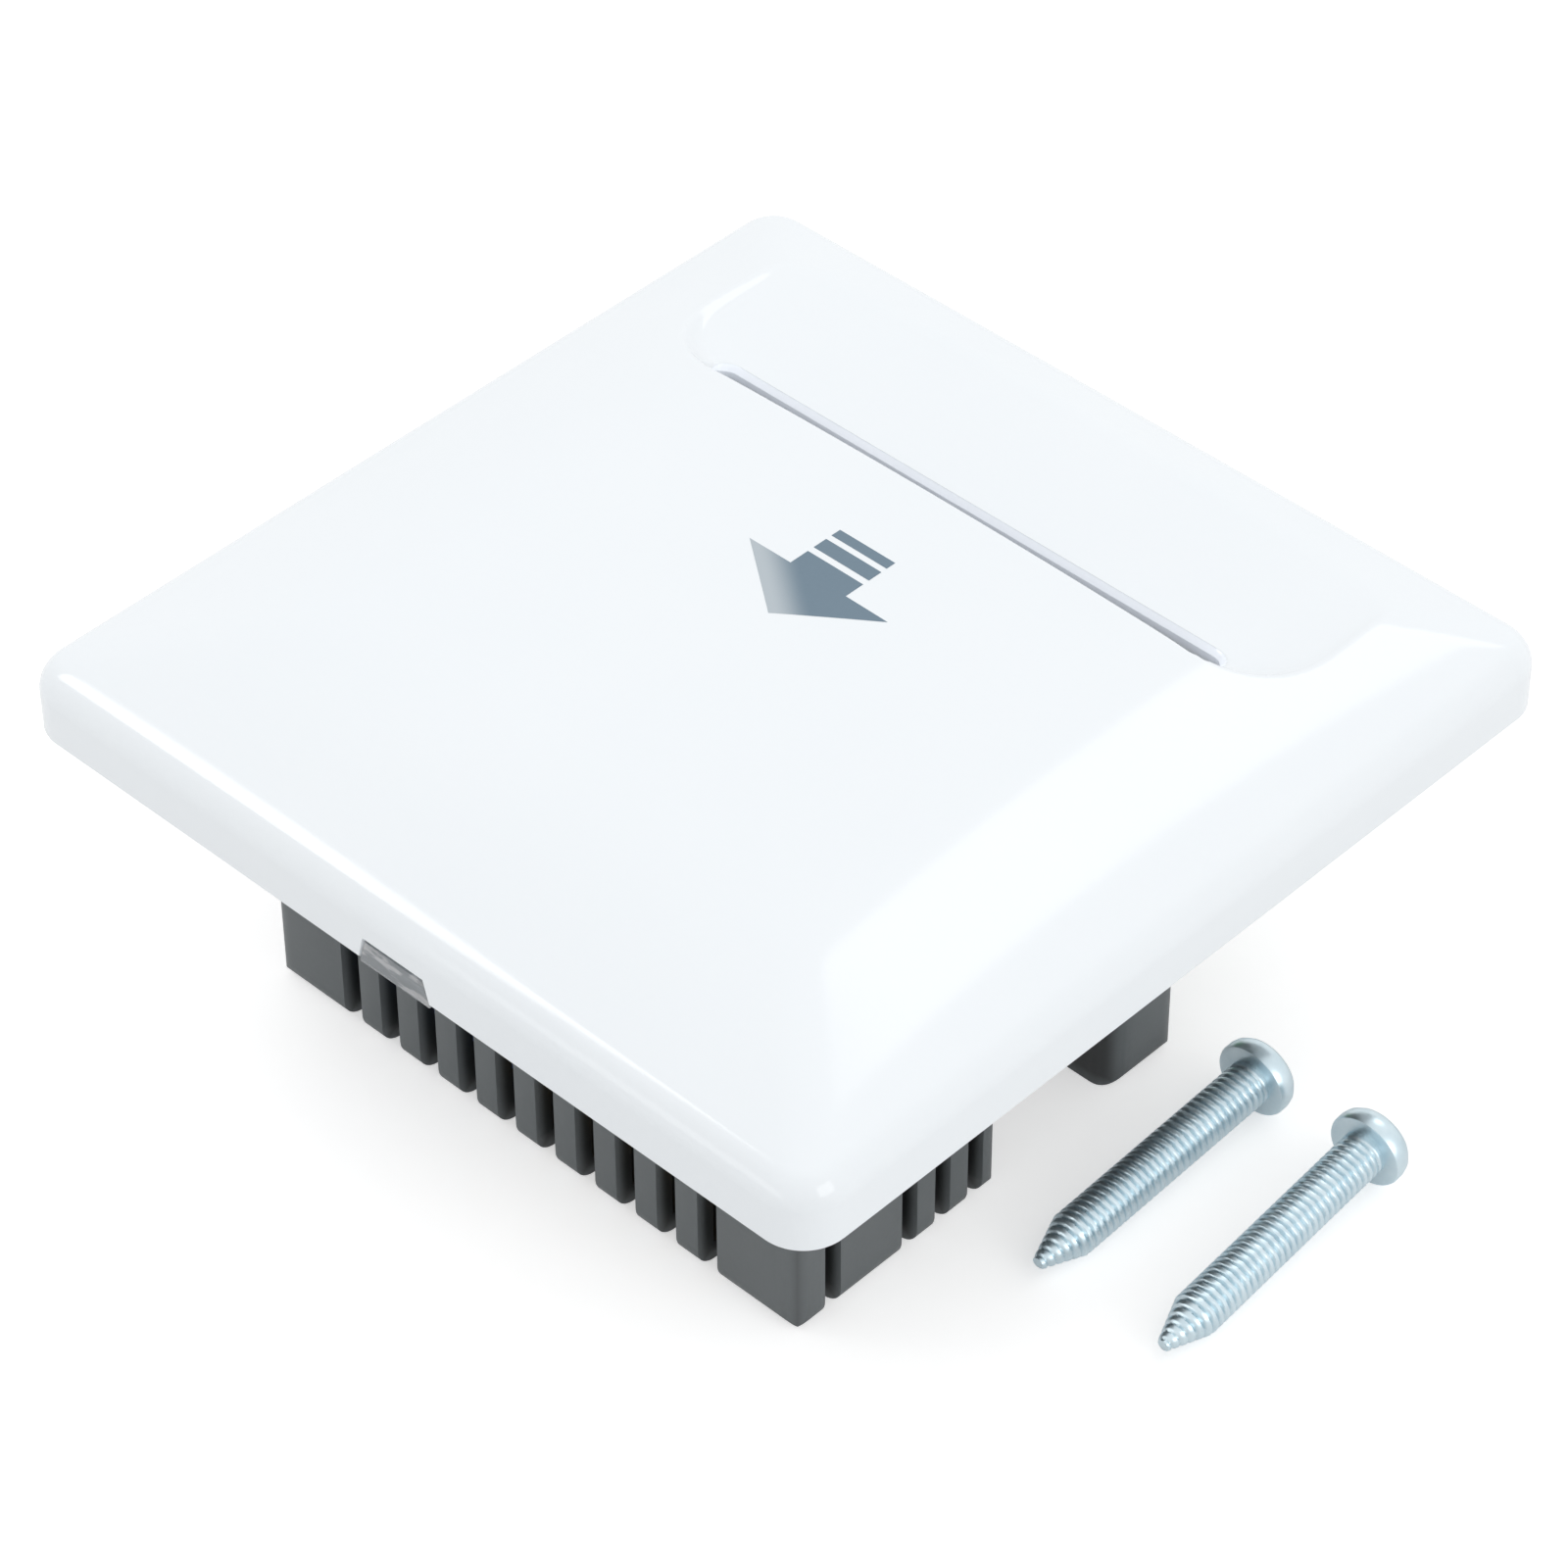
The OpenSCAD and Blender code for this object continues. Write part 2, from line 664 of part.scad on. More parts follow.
module card_lever() color("silver") {
    top = lever_under + lever_t;
    difference() {
        union() {
            translate([-lever_w / 2, 0, 0]) rotate([90, 0, 90]) linear_extrude(lever_w) polygon([
                [-pivot_y, lever_under], [nose_y - lever_end, lever_under],
                [nose_y - lever_end, nose_top - nose_edge], [nose_y - nose_flat, nose_top],
                [nose_y + nose_flat, nose_top], [nose_y + nose_back, tray_z],
                [nose_y + nose_back, top], [-pivot_y, top]
            ]);
            translate([-lever_w / 2, -pivot_y, pivot_z]) rotate([0, 90, 0]) cylinder(r = hub_r, h = lever_w);
        }
        translate([-lever_w, -pivot_y, pivot_z]) rotate([0, 90, 0])
            cylinder(r = pin_r + run_gap, h = 2 * lever_w);
    }
}

module lever_pin() color("lightsteelblue") {
    pin_half = window_half + lug_t + 0.6;
    translate([-pin_half, -pivot_y, pivot_z]) rotate([0, 90, 0]) cylinder(r = pin_r, h = 2 * pin_half);
}

module tray_screws() color("silver") for (y = ear_ys) both_sides([ear_x, y])
    translate([0, 0, frame_t + ear_h]) pan_screw(small_r, ear_h + tray_bite, small_head_r, small_head_h);

// Plan of the deep housing, set in by a wall: a middle column with a low and a high block
module box_plan(inset) {
    r = max(box_r - inset, least_r);
    x = box_half - inset;
    column = lug_x - inset;
    rounded_rect(-x, -box_low + inset, x, -lug_h / 2 - inset, r);
    high_r = min(r, (box_high - lug_h / 2) / 2 - inset - small_step);
    rounded_rect(-x, lug_h / 2 + inset, x, box_high - inset, high_r);
    translate([-column, -box_low + inset + r]) square([2 * column, box_low + box_high - 2 * inset - 2 * r]);
}

// Plan of the shallow rebate in the frame that takes the housing's top edge
module seat_plan() {
    box_plan(-seat_gap);
    translate([-bay_half - seat_gap, 0]) square([2 * (bay_half + seat_gap), bay_high + seat_gap]);
}

// Extruded side view with its two rear edges rounded
module rear_rounding(a0, a1, depth) {
    tall = box_d + seat_d;
    linear_extrude(depth) {
        translate([a0, -box_d + box_edge_r]) square([a1 - a0, tall - box_edge_r]);
        translate([a0 + box_edge_r, -box_d]) square([a1 - a0 - 2 * box_edge_r, tall]);
        for (a = [a0 + box_edge_r, a1 - box_edge_r]) translate([a, -box_d + box_edge_r]) circle(box_edge_r);
    }
}

module vent_slits() {
    first = -(slit_count - 1) / 2 * slit_pitch;
    for (i = [0:slit_count - 1])
        block(first + i * slit_pitch - slit_w / 2, -box_low - over, -box_d - over,
            first + i * slit_pitch + slit_w / 2, -box_low + slit_depth, -slit_top);
    low_ys = [for (i = [0:side_slit_count - 1]) -side_slit_y - i * side_slit_pitch];
    side_ys = concat([-corner_slit_y], low_ys);
    for (y = side_ys) for (s = [-1, 1]) translate([s * (box_half - slit_depth), 0, 0])
        block(s > 0 ? 0 : -slit_depth - over, y - side_slit_w / 2, -box_d - over,
            s > 0 ? slit_depth + over : 0, y + side_slit_w / 2, -slit_top);
}

module rear_housing() color("dimgray") {
    bay_low = board_low - bay_gap;
    bay_inner = bay_half - box_wall;
    difference() {
        union() {
            intersection() {
                translate([0, 0, -box_d]) linear_extrude(box_d + seat_d) box_plan(0);
                translate([0, half, 0]) rotate([90, 0, 0]) rear_rounding(-box_half, box_half, plate_w);
                translate([-half, 0, 0]) rotate([90, 0, 90]) rear_rounding(-box_low, box_high, plate_w);
            }
            block(-bay_half, box_high - over, bay_low - box_wall, bay_half, bay_high, seat_d);
        }
        difference() {
            translate([0, 0, cav_floor]) linear_extrude(box_d) box_plan(box_wall);
            for (p = pillars) both_sides(p) post(0, 0, pillar_r, -box_d, pillar_end - boss_gap);
        }
        block(-bay_inner, box_high - box_wall - over, bay_low, bay_inner, bay_high - box_wall, over);
        block(-block_w / 2 - seat_gap, box_high, -box_d, block_w / 2 + seat_gap, block_high + seat_gap, 0);
        vent_slits();
        block(-window_w / 2, -box_low - over, -seat_gap, window_w / 2, -box_low + box_wall + over, over);
        for (p = pillars) both_sides(p) {
            post(0, 0, small_free_r, -box_d - over, 0);
            post(0, 0, small_head_r + head_gap, -box_d - over, -box_d + head_sink);
        }
    }
}

module housing_screws() color("silver") for (p = pillars) both_sides(p)
    translate([0, 0, -box_d + head_sink]) mirror([0, 0, 1])
        pan_screw(small_r, boss_h + box_wall - head_sink + pillar_bite, small_head_r, small_head_h);

module circuit_board() color("seagreen") difference() {
    union() {
        block(-board_wing, board_front, board_low, board_wing, board_step, board_top);
        block(-board_stem_w / 2, board_step - over, board_low, board_stem_w / 2, board_back, board_top);
    }
    for (p = pillars) both_sides(p) post(0, 0, pillar_r + board_free, board_low - over, board_top + over);
    for (p = standoffs) both_sides(p) post(0, 0, small_free_r, board_low - over, board_top + over);
}

module board_screws() color("silver") for (p = standoffs) both_sides(p)
    translate([0, 0, board_low]) mirror([0, 0, 1])
        pan_screw(small_r, board_t + board_bite, small_head_r, small_head_h);

module switch_case() color("darkslategray") difference() {
    slab(
        -switch_w / 2, plunger_y - switch_t / 2, switch_w / 2, plunger_y + switch_t / 2, case_edge_r,
        board_top, case_top
    );
    post(0, plunger_y, plunger_r + run_gap, case_top - plunger_in - plunger_room, case_top + over);
    for (s = [-1, 1])
        translate([s * (switch_w / 2 - case_hole_in), plunger_y + switch_t, board_top + case_hole_up])
            rotate([90, 0, 0]) cylinder(r = case_hole_r, h = 2 * switch_t);
}

module switch_plunger() color("firebrick") {
    post(0, plunger_y, plunger_r, case_top - plunger_in, plunger_top - plunger_r / 2);
    translate([0, plunger_y, plunger_top - plunger_r]) intersection() {
        sphere(plunger_r);
        translate([0, 0, plunger_r / 2]) cube(plunger_r * 2, center = true);
    }
}

module relay() color("steelblue") slab(
    relay_x, relay_y, relay_x + relay_w, relay_y + relay_l, relay_edge_r,
    board_low - relay_h, board_low
);

module film_capacitor() color("khaki") slab(
    film_x, relay_y, front_pillar[0] - pillar_r - part_gap, relay_y + film_l, relay_edge_r,
    board_low - film_h, board_low
);

module smoothing_capacitor() color("midnightblue") {
    r = can_d / 2;
    groove_z = can_l - can_groove_in;
    translate([can_at[0], can_at[1], board_low - can_l]) rotate_extrude() polygon([
        [0, 0], [r - can_edge, 0], [r, can_edge], [r, groove_z], [r - can_groove, groove_z + can_groove],
        [r, groove_z + 2 * can_groove], [r, can_l - can_edge], [r - can_edge, can_l], [0, can_l]
    ]);
}

module varistor() color("royalblue") translate([varistor_at[0], varistor_at[1], varistor_z]) {
    rotate([90, 0, 0]) {
        cylinder(r = varistor_r - varistor_edge, h = varistor_t, center = true);
        cylinder(r = varistor_r, h = varistor_t - 2 * varistor_edge, center = true);
    }
    for (x = [-lead_x, lead_x]) post(x, 0, lead_r, varistor_r - 1.4, varistor_r + part_gap);
}

module fuse_tube() color("lightcyan", 0.7) translate([-fuse_l / 2, fuse_y, fuse_z]) rotate([0, 90, 0])
    cylinder(r = fuse_r, h = fuse_l);

module fuse_caps() color("silver") for (s = [-1, 1]) translate([s * (fuse_l - cap_l) / 2, fuse_y, fuse_z])
    difference() {
        union() {
            rotate([0, 90, 0]) cylinder(r = fuse_r + cap_t, h = cap_l + 2 * cap_t, center = true);
            block(-foot_w / 2, -foot_t / 2, 0, foot_w / 2, foot_t / 2, board_low - fuse_z);
        }
        translate([-s * cap_t, 0, 0]) rotate([0, 90, 0])
            cylinder(r = fuse_r, h = cap_l + 2 * cap_t, center = true);
    }

module delay_chip() color("dimgray") translate([chip_at[0], chip_at[1], board_low - chip_t - chip_lift]) {
    slab(0, 0, chip_l, chip_w, 0.3, 0, chip_t);
    for (i = [0:3]) for (y = [0, chip_w]) translate([1 + i * chip_leg_pitch, y, chip_t / 2])
        block(-chip_leg_w / 2, -chip_leg_t / 2, 0, chip_leg_w / 2, chip_leg_t / 2, chip_t / 2 + chip_lift);
}

module resistors() color("tan") for (i = [0:2])
    translate([resistor_at[0] + i * resistor_pitch, resistor_at[1], board_low - resistor_r - resistor_lift]) {
        rotate([-90, 0, 0]) cylinder(r = resistor_r, h = resistor_l);
        translate([0, -seat_gap, 0]) rotate([-90, 0, 0])
            cylinder(r = resistor_wire_r, h = resistor_l + 2 * seat_gap);
        for (y = [-seat_gap, resistor_l + seat_gap])
            post(0, y, resistor_wire_r, 0, resistor_r + resistor_lift);
    }

module indicator_lamp() color("limegreen", 0.8) translate([0, lamp_y, board_top]) {
    cylinder(r = lamp_d / 2 + 0.4, h = 1);
    cylinder(r = lamp_d / 2, h = lamp_h - lamp_d / 2);
    translate([0, 0, lamp_h - lamp_d / 2]) sphere(lamp_d / 2);
}

module terminal_block() color("darkgreen") difference() {
    slab(-block_w / 2, block_y, block_w / 2, block_high, 0.6, block_low, board_low);
    for (x = pole_xs) {
        block(
            x - cage_w / 2 - seat_gap / 2, cage_y - seat_gap / 2, cage_floor,
            x + cage_w / 2 + seat_gap / 2, cage_y + cage_l + seat_gap / 2, board_low + over
        );
        translate([x, cage_y, wire_z]) rotate([-90, 0, 0]) cylinder(d = wire_d, h = block_l);
        post(x, cage_y + cage_l / 2, clamp_head_r + clamp_gap, block_low - over, cage_floor + over);
    }
}

module terminal_clamps() color("gold") for (x = pole_xs) difference() {
    block(x - cage_w / 2, cage_y, cage_floor, x + cage_w / 2, cage_y + cage_l, board_low);
    block(
        x - cage_w / 2 + cage_t, cage_y - over, cage_floor + cage_t,
        x + cage_w / 2 - cage_t, cage_y + cage_l + over, cage_floor + cage_h - cage_t
    );
    block(
        x - cage_w / 2 - over, cage_y - over, cage_floor + cage_h,
        x + cage_w / 2 + over, cage_y + cage_l / 2 - clamp_tail, board_low + over
    );
    block(
        x - cage_w / 2 - over, cage_y + cage_l / 2 + clamp_tail, cage_floor + cage_h,
        x + cage_w / 2 + over, cage_y + cage_l + over, board_low + over
    );
    post(x, cage_y + cage_l / 2, clamp_r + run_gap, cage_floor - over, cage_floor + cage_t + over);
}

module terminal_screws() color("silver") for (x = pole_xs)
    translate([x, cage_y + cage_l / 2, 0]) difference() {
        union() {
            post(0, 0, clamp_head_r, block_low + clamp_sink, cage_floor);
            post(0, 0, clamp_r, cage_floor - clamp_sink, cage_floor + cage_t + clamp_gap);
        }
        block(
            -clamp_head_r - over, -clamp_slot_w / 2, block_low - over,
            clamp_head_r + over, clamp_slot_w / 2, block_low + clamp_slot_d
        );
    }

// A pointed pan-head screw from its tip at the origin to its head along +Z
module mounting_screw() {
    cylinder(r1 = tip_r, r2 = screw_d / 2, h = tip_l);
    translate([0, 0, tip_l]) cylinder(r = screw_d / 2, h = screw_l - tip_l);
    translate([0, 0, screw_l]) pan_screw(screw_d / 2, 1, head_d / 2, head_h);
}

module mounting_screws() color("lightsteelblue") for (p = screw_places)
    translate([p[0], p[1], tip_z]) rotate(p[2]) rotate([screw_tilt - 90, 0, 0]) mounting_screw();

front_cover();
mounting_frame();
light_pipe();
card_tray();
card_springs();
card_lever();
lever_pin();
tray_screws();
rear_housing();
housing_screws();
circuit_board();
board_screws();
switch_case();
switch_plunger();
relay();
film_capacitor();
smoothing_capacitor();
varistor();
fuse_tube();
fuse_caps();
delay_chip();
resistors();
indicator_lamp();
terminal_block();
terminal_clamps();
terminal_screws();
mounting_screws();
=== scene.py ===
"""Looks of a hotel key card switch with its rear housing and two loose screws."""
import math

import bmesh
import bpy
import numpy as np
from mathutils import Matrix, Vector


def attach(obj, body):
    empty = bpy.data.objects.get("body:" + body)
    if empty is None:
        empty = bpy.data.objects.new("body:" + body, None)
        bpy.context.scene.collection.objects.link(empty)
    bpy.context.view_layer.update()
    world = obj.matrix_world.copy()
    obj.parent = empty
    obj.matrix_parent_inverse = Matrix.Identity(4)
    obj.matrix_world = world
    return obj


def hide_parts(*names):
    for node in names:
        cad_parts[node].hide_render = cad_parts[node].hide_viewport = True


MM = 0.001
TINY = 1e-9
CORNERS = ((-1, -1), (1, -1), (1, 1), (-1, 1))

# Cover, in millimetres
HALF = 43.0
WALL = 1.6
CORNER_R = 4.0
HIP_R = 2.5
HIP_START = 34.0
HIP_PASSES = 5
RIM_H = 5.85
FACE_H = 11.48
DOME_DROP = 1.6
ROLL_W = 20.0
RIM_ROUND = 1.9
DOME_K = DOME_DROP / HALF ** 2
FOOT_ROUND = 0.25
DRAW_START = 36.0
COVER_SHARP = 40.0

# Pegs inside the cover: place in plan, tip as (radius, height), shaft and root
PEG_PLACE = 35.0
PEG_TIP = ((0.9, 0.3), (1.2, 0.5), (1.5, 1.1))
PEG_R = 1.5
PEG_ROOT_R = 2.0
PEG_ROOT_H = 0.6
PEG_BITE = 0.2
PEG_SIDES = 24

# Card slot and scoop
SLOT_Y = 18.0
SLOT_W = 3.1
SLOT_HALF = 27.6
SLOT_HIT = 1e-6
LIP_ROUND = 0.35
SILL_EASE = 0.5
SCOOP_H = 8.48
SCOOP_HALF = 35.5
SCOOP_R = 8.5
FLANK_X = SLOT_HALF
FLANK_R = 40.0
END_RUN = 3.0
END_R = 2.0
END_FADE_IN = 2.0
END_FADE_OUT = 0.5
EDGE_BLEND = 0.3

# Light window in the rim
WINDOW_FOOT = 3.9
WINDOW_TOP = 3.3
WINDOW_H = 2.2

# Spacing of the cover's mesh lines; the two arc steps are in degrees
FACE_PITCH = 0.75
WINDOW_PITCH = 0.8
SCOOP_END_FROM = 25.0
SCOOP_END_TO = 36.0
SCOOP_END_PITCH = 0.3
SCOOP_PITCH = 0.35
ROLL_PITCH = 0.5
SLOT_PITCH = 0.2
SILL_PITCH = 0.1
SILL_EDGE = 0.06
RIM_ARC_STEP = 10
LIP_ARC_STEP = 15

# Painted glow in the slot's walls, light given off by the shell's material: each pair is where the glow
# starts and where it is full
PAINTED_GLOW_COLOUR = (0.12, 0.13, 0.165, 1)
PAINTED_GLOW_TOP = (SCOOP_H - 0.01, SCOOP_H - 0.1)
PAINTED_GLOW_FOOT = (6.6, 8.2)
PAINTED_GLOW_BESIDE = (SLOT_W / 2 + 1.5, SLOT_W / 2 + 0.7)
PAINTED_GLOW_ENDS = (SLOT_HALF + 1.5, SLOT_HALF + 0.5)

# Printed arrow: head, then a shaft and two bars as (near, far) along Y
ARROW_TIP = -2.07
ARROW_WING = 3.56
ARROW_HALF = 7.5
ARROW_TIP_SHARE = 0.004
ARROW_BARS = ((ARROW_WING, 5.56), (6.21, 7.66), (8.26, 9.26))
BAR_HALF = 3.0
HEAD_ROWS = 14
BAR_ROWS = 4
BAR_COLUMNS = 8
PRINT_LIFT = 0.012
# Painted reflection on the arrow: where it starts and where it is full, in millimetres in from the head's
# left edge
PAINTED_REFLECTION_START = 3.4
PAINTED_REFLECTION_FULL = 0.4

# Deep part of the rear housing, which stands on the floor, and where painted shade darkens its slits
FLOOR_Z = -27.5
BOX_HALF = 30.0
BOX_LOW = 30.25
BOX_HIGH = 14.9
RECESS_SHADE_START = 0.25
RECESS_SHADE_FULL = 1.3
RECESS_SHADE_SHARE = 0.3

# Shares of slow clouds and fine grain in moulded plastic, and the bend of light in clear plastic
CLOUD_SHARE = 0.7
GRAIN_SHARE = 0.3
CLEAR_IOR = 1.5

# Streaks in the window insert: a bump relief, with pale glints painted on them
STREAK_STRETCH = (0.3, 1.0, 1.0)
STREAK_SCALE = 1100.0
PAINTED_GLINT_RANGE = (0.46, 0.62)

# Loose screws: plan place of the tip, turn about Z in degrees, spin about the shank in radians
SCREW_PLACES = ((39.05, -12.7, -0.1), (51.75, -12.5, 2.4))
SPIN_FIRST = 0.9
SPIN_STEP = 0.8
SCREW_L = 25.5
SCREW_D = 4.0
SCREW_SHARP = 38.0
TIP_L = 4.0
TIP_BLUNT = 0.26
TIP_THREAD = 0.1
THREAD_PITCH = 0.7
THREAD_DEPTH = 0.36
THREAD_FLANK = 1.9
THREAD_RUNOUT = 1.0
SHANK_SIDES = 40
LINES_PER_PITCH = 9

# Pan head: profile as (in from the widest radius, height), then the cross recess
HEAD_D = 6.8
HEAD_H = 2.6
HEAD_PROFILE = ((0.35, 0.0), (0.1, 0.08), (0.0, 0.3), (0.0, 1.0),
                (0.12, 1.5), (0.5, 2.0), (1.1, 2.35), (1.9, 2.54))
HEAD_FLAT_R = 0.4
HEAD_NECK = 0.3
HEAD_SIDES = 64
HEAD_SLIVER = 0.001
CROSS_REACH = 2.1
CROSS_HALF = 0.42
CROSS_TAPER = 0.45
CROSS_DEPTH = 1.5
CROSS_OVER = 0.4

# Easing of the copied CAD pieces, in millimetres and degrees
WELD = 0.002
SLIVER = 0.0001
FLAT_ANGLE = 0.4
EASE_ANGLE = 40.0
SHARP_ANGLE = 35.0

# Camera fitted to the photograph, in millimetres and degrees
CAMERA_TURN = 44.017
CAMERA_RISE = 42.042
CAMERA_ROLL = -0.309
CAMERA_DISTANCE = 440.466
CAMERA_AIM = (5.877, -6.499, 0.0)
CAMERA_LENS = 128.73
SENSOR_W = 36.0

# Stage, in metres; lifts and levels are strengths of light
CLIP_NEAR = 0.01
CLIP_FAR = 20.0
TABLE_HALF = 1.6
TABLE_DROP = 0.00002
TABLE_TINT = (0.79, 0.79, 0.79, 1)
TABLE_CLOUD = (0.82, 0.82, 0.82, 1)
TABLE_LIFT = 0.5
MIRROR_LIFT = 0.18
ROOM_SLOPE = (0.0, 0.15, 0.23)
ROOM_LEVEL = 0.662

# Node sockets
FLOAT = "NodeSocketFloat"
COLOUR = "NodeSocketColor"


# Cover surface

def ring_level(x, y):
    """Half size of the rounded square through each point."""
    a = np.abs(x)
    b = np.abs(y)
    level = np.maximum(a, b)
    for _ in range(HIP_PASSES):
        r = np.clip(CORNER_R - (HALF - level), HIP_R, CORNER_R)
        apart = np.abs(a - b)
        root = np.sqrt(np.maximum(2 * r * r - apart * apart, 0))
        level = np.where(apart < r, (a + b - root) / 2 + r, np.maximum(a, b))
    return level


def dome_height(x, y):
    """Height of the dome with its rolled-off sides and rounded rim."""
    inset = np.maximum(HALF - ring_level(x, y), 0)
    crest_rim = RIM_H + DOME_DROP
    roll = np.maximum(1 - inset / ROLL_W, 0)
    crest = crest_rim + (FACE_H - crest_rim) * (1 - roll ** 2)
    short = np.maximum(RIM_ROUND - inset, 0)
    fall = np.where(short > 0, RIM_ROUND - np.sqrt(np.maximum(RIM_ROUND ** 2 - short ** 2, 0)), 0)
    return crest - fall - DOME_K * (x * x + y * y - x * x * y * y / HALF ** 2)


def hollow_rise(reach, radius):
    """Rise of a hollow of the given radius, from its foot at reach 0."""
    return np.maximum(reach, 0) ** 2 / (2 * radius)


def smooth_step(value, low, high):
    """Soft change from 0 at low to 1 at high."""
    t = np.clip((value - low) / (high - low), 0, 1)
    return t * t * (3 - 2 * t)


def smooth_lower(a, b, width):
    """The lower of two heights, with the edge between them rounded."""
    h = np.clip(0.5 + 0.5 * (b - a) / width, 0, 1)
    return b + (a - b) * h - width * h * (1 - h)


def scoop_inset(x, y):
    """Distance inside the scoop's outline, whose two near corners are round."""
    across = np.abs(x) - (SCOOP_HALF - SCOOP_R)
    along = SLOT_Y + SCOOP_R - y
    corner = np.hypot(np.maximum(across, 0), np.maximum(along, 0))
    return SCOOP_R - corner - np.minimum(np.maximum(across, along), 0)


def scoop_height(x, y):
    """Flat floor, slowly rising flanks and hollowed ends beside the slot."""
    side = np.abs(x)
    flank = hollow_rise(side - FLANK_X, FLANK_R)
    end = hollow_rise(END_RUN - scoop_inset(x, y), END_R)
    return SCOOP_H + flank + end * smooth_step(side, SLOT_HALF - END_FADE_IN, SLOT_HALF + END_FADE_OUT)


def cover_height(x, y):
    """Height of the outside: the dome, and the scoop beyond the slot's lip."""
    dome = dome_height(x, y)
    return np.where(y > SLOT_Y, smooth_lower(dome, scoop_height(x, y), EDGE_BLEND), dome)


def slot_distance(x, y):
    """Distance outside the slot's outline, which has round ends."""
    r = SLOT_W / 2
    run = SLOT_HALF - r
    along = np.clip(x, -run, run)
    return np.hypot(x - along, y - SLOT_Y - r) - r


def edge_fall(x, y):
    """Round of the lip and slanted edge of the sill, one turning into the other at the slot's ends."""
    apart = slot_distance(x, y)
    short = np.clip(LIP_ROUND - apart, 0, LIP_ROUND)
    lip = LIP_ROUND - np.sqrt(np.maximum(LIP_ROUND ** 2 - short ** 2, 0))
    sill = np.clip(SILL_EASE - apart, 0, SILL_EASE)
    return lip + (sill - lip) * smooth_step(y, SLOT_Y, SLOT_Y + SLOT_W)


# Mesh helpers

def steps(start, stop, pitch):
    """Even steps from start that end one short of stop."""
    count = max(1, int(round((stop - start) / pitch)))
    return [start + (stop - start) * i / count for i in range(count)]


def arc_lines(edge, radius, step):
    """Lines over a quarter round that ends at edge, by even steps of its angle."""
    return [edge - radius * (1 - math.cos(math.radians(t))) for t in range(90, -1, -step)]


def new_piece(name, points, faces, material, body=None, sharp=SHARP_ANGLE):
    """A mesh piece from points in millimetres."""
    mesh = bpy.data.meshes.new(name)
    mesh.from_pydata([(p[0] * MM, p[1] * MM, p[2] * MM) for p in points], [], faces)
    mesh.update()
    piece = bpy.data.objects.new(name, mesh)
    bpy.context.scene.collection.objects.link(piece)
    settle(piece, sharp)
    mesh.materials.append(material)
    if body:
        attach(piece, body)
    return piece


def settle(piece, sharp):
    """Normals outward, smooth faces, edges over the angle kept sharp."""
    bm = bmesh.new()
    bm.from_mesh(piece.data)
    bmesh.ops.recalc_face_normals(bm, faces=bm.faces)
    limit = math.radians(sharp)
    for face in bm.faces:
        face.smooth = True
    for edge in bm.edges:
        edge.smooth = len(edge.link_faces) == 2 and edge.calc_face_angle(0) < limit
    bm.to_mesh(piece.data)
    bm.free()


def ring_faces(start, count):
    """Faces between a ring of points that begins at start and the ring after it."""
    faces = []
    for i in range(count):
        j = (i + 1) % count
        faces.append((start + i, start + j, start + count + j, start + count + i))
    return faces


def lathe(profile, count, place=(0, 0, 0)):
    """Points and faces of a turned solid; profile is (radius, height) from foot to top."""
    points = []
    faces = []
    for r, h in profile:
        for i in range(count):
            a = 2 * math.pi * i / count
            points.append((place[0] + r * math.cos(a), place[1] + r * math.sin(a), place[2] + h))
    for k in range(len(profile) - 1):
        faces.extend(ring_faces(k * count, count))
    faces.append(tuple(reversed(range(count))))
    faces.append(tuple(range((len(profile) - 1) * count, len(profile) * count)))
    return points, faces


def joined(parts):
    """Points and faces of several parts as one."""
    points = []
    faces = []
    for more_points, more_faces in parts:
        start = len(points)
        points.extend(more_points)
        faces.extend(tuple(i + start for i in face) for face in more_faces)
    return points, faces


def eased_copy(node, material, width, body):
    """The CAD piece with its sharp edges eased by a small round."""
    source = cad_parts[node]
    piece = bpy.data.objects.new(node + "_eased", source.data.copy())
    bpy.context.scene.collection.objects.link(piece)
    piece.matrix_world = source.matrix_world.copy()
    bm = bmesh.new()
    bm.from_mesh(piece.data)
    bmesh.ops.remove_doubles(bm, verts=bm.verts, dist=WELD * MM)
    bmesh.ops.dissolve_limit(bm, angle_limit=math.radians(FLAT_ANGLE), verts=bm.verts, edges=bm.edges)
    limit = math.radians(EASE_ANGLE)
    edges = [e for e in bm.edges if len(e.link_faces) == 2 and e.calc_face_angle(0) > limit]
    bmesh.ops.bevel(bm, geom=edges, offset=width * MM, segments=2, profile=0.5,
                    affect="EDGES", clamp_overlap=True)
    bmesh.ops.dissolve_degenerate(bm, dist=SLIVER * MM, edges=bm.edges)
    bm.to_mesh(piece.data)
    bm.free()
    settle(piece, SHARP_ANGLE)
    piece.data.materials.clear()
    piece.data.materials.append(material)
    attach(piece, body)
    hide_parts(node)
    return piece


# Material nodes and groups

def new_group(name, inputs, outputs):
    """An empty shader node group with named sockets."""
    group = bpy.data.node_groups.new(name, "ShaderNodeTree")
    for label, kind, value in inputs:
        socket = group.interface.new_socket(label, in_out="INPUT", socket_type=kind)
        socket.default_value = value
    for label, kind in outputs:
        group.interface.new_socket(label, in_out="OUTPUT", socket_type=kind)
    return group, group.nodes.new("NodeGroupInput"), group.nodes.new("NodeGroupOutput")


def feed(tree, socket, value):
    """Sets a socket to a plain value, or links another socket to it."""
    if isinstance(value, (int, float, tuple)):
        socket.default_value = value
    else:
        tree.links.new(value, socket)


def object_coords(tree):
    return tree.nodes.new("ShaderNodeTexCoord").outputs["Object"]


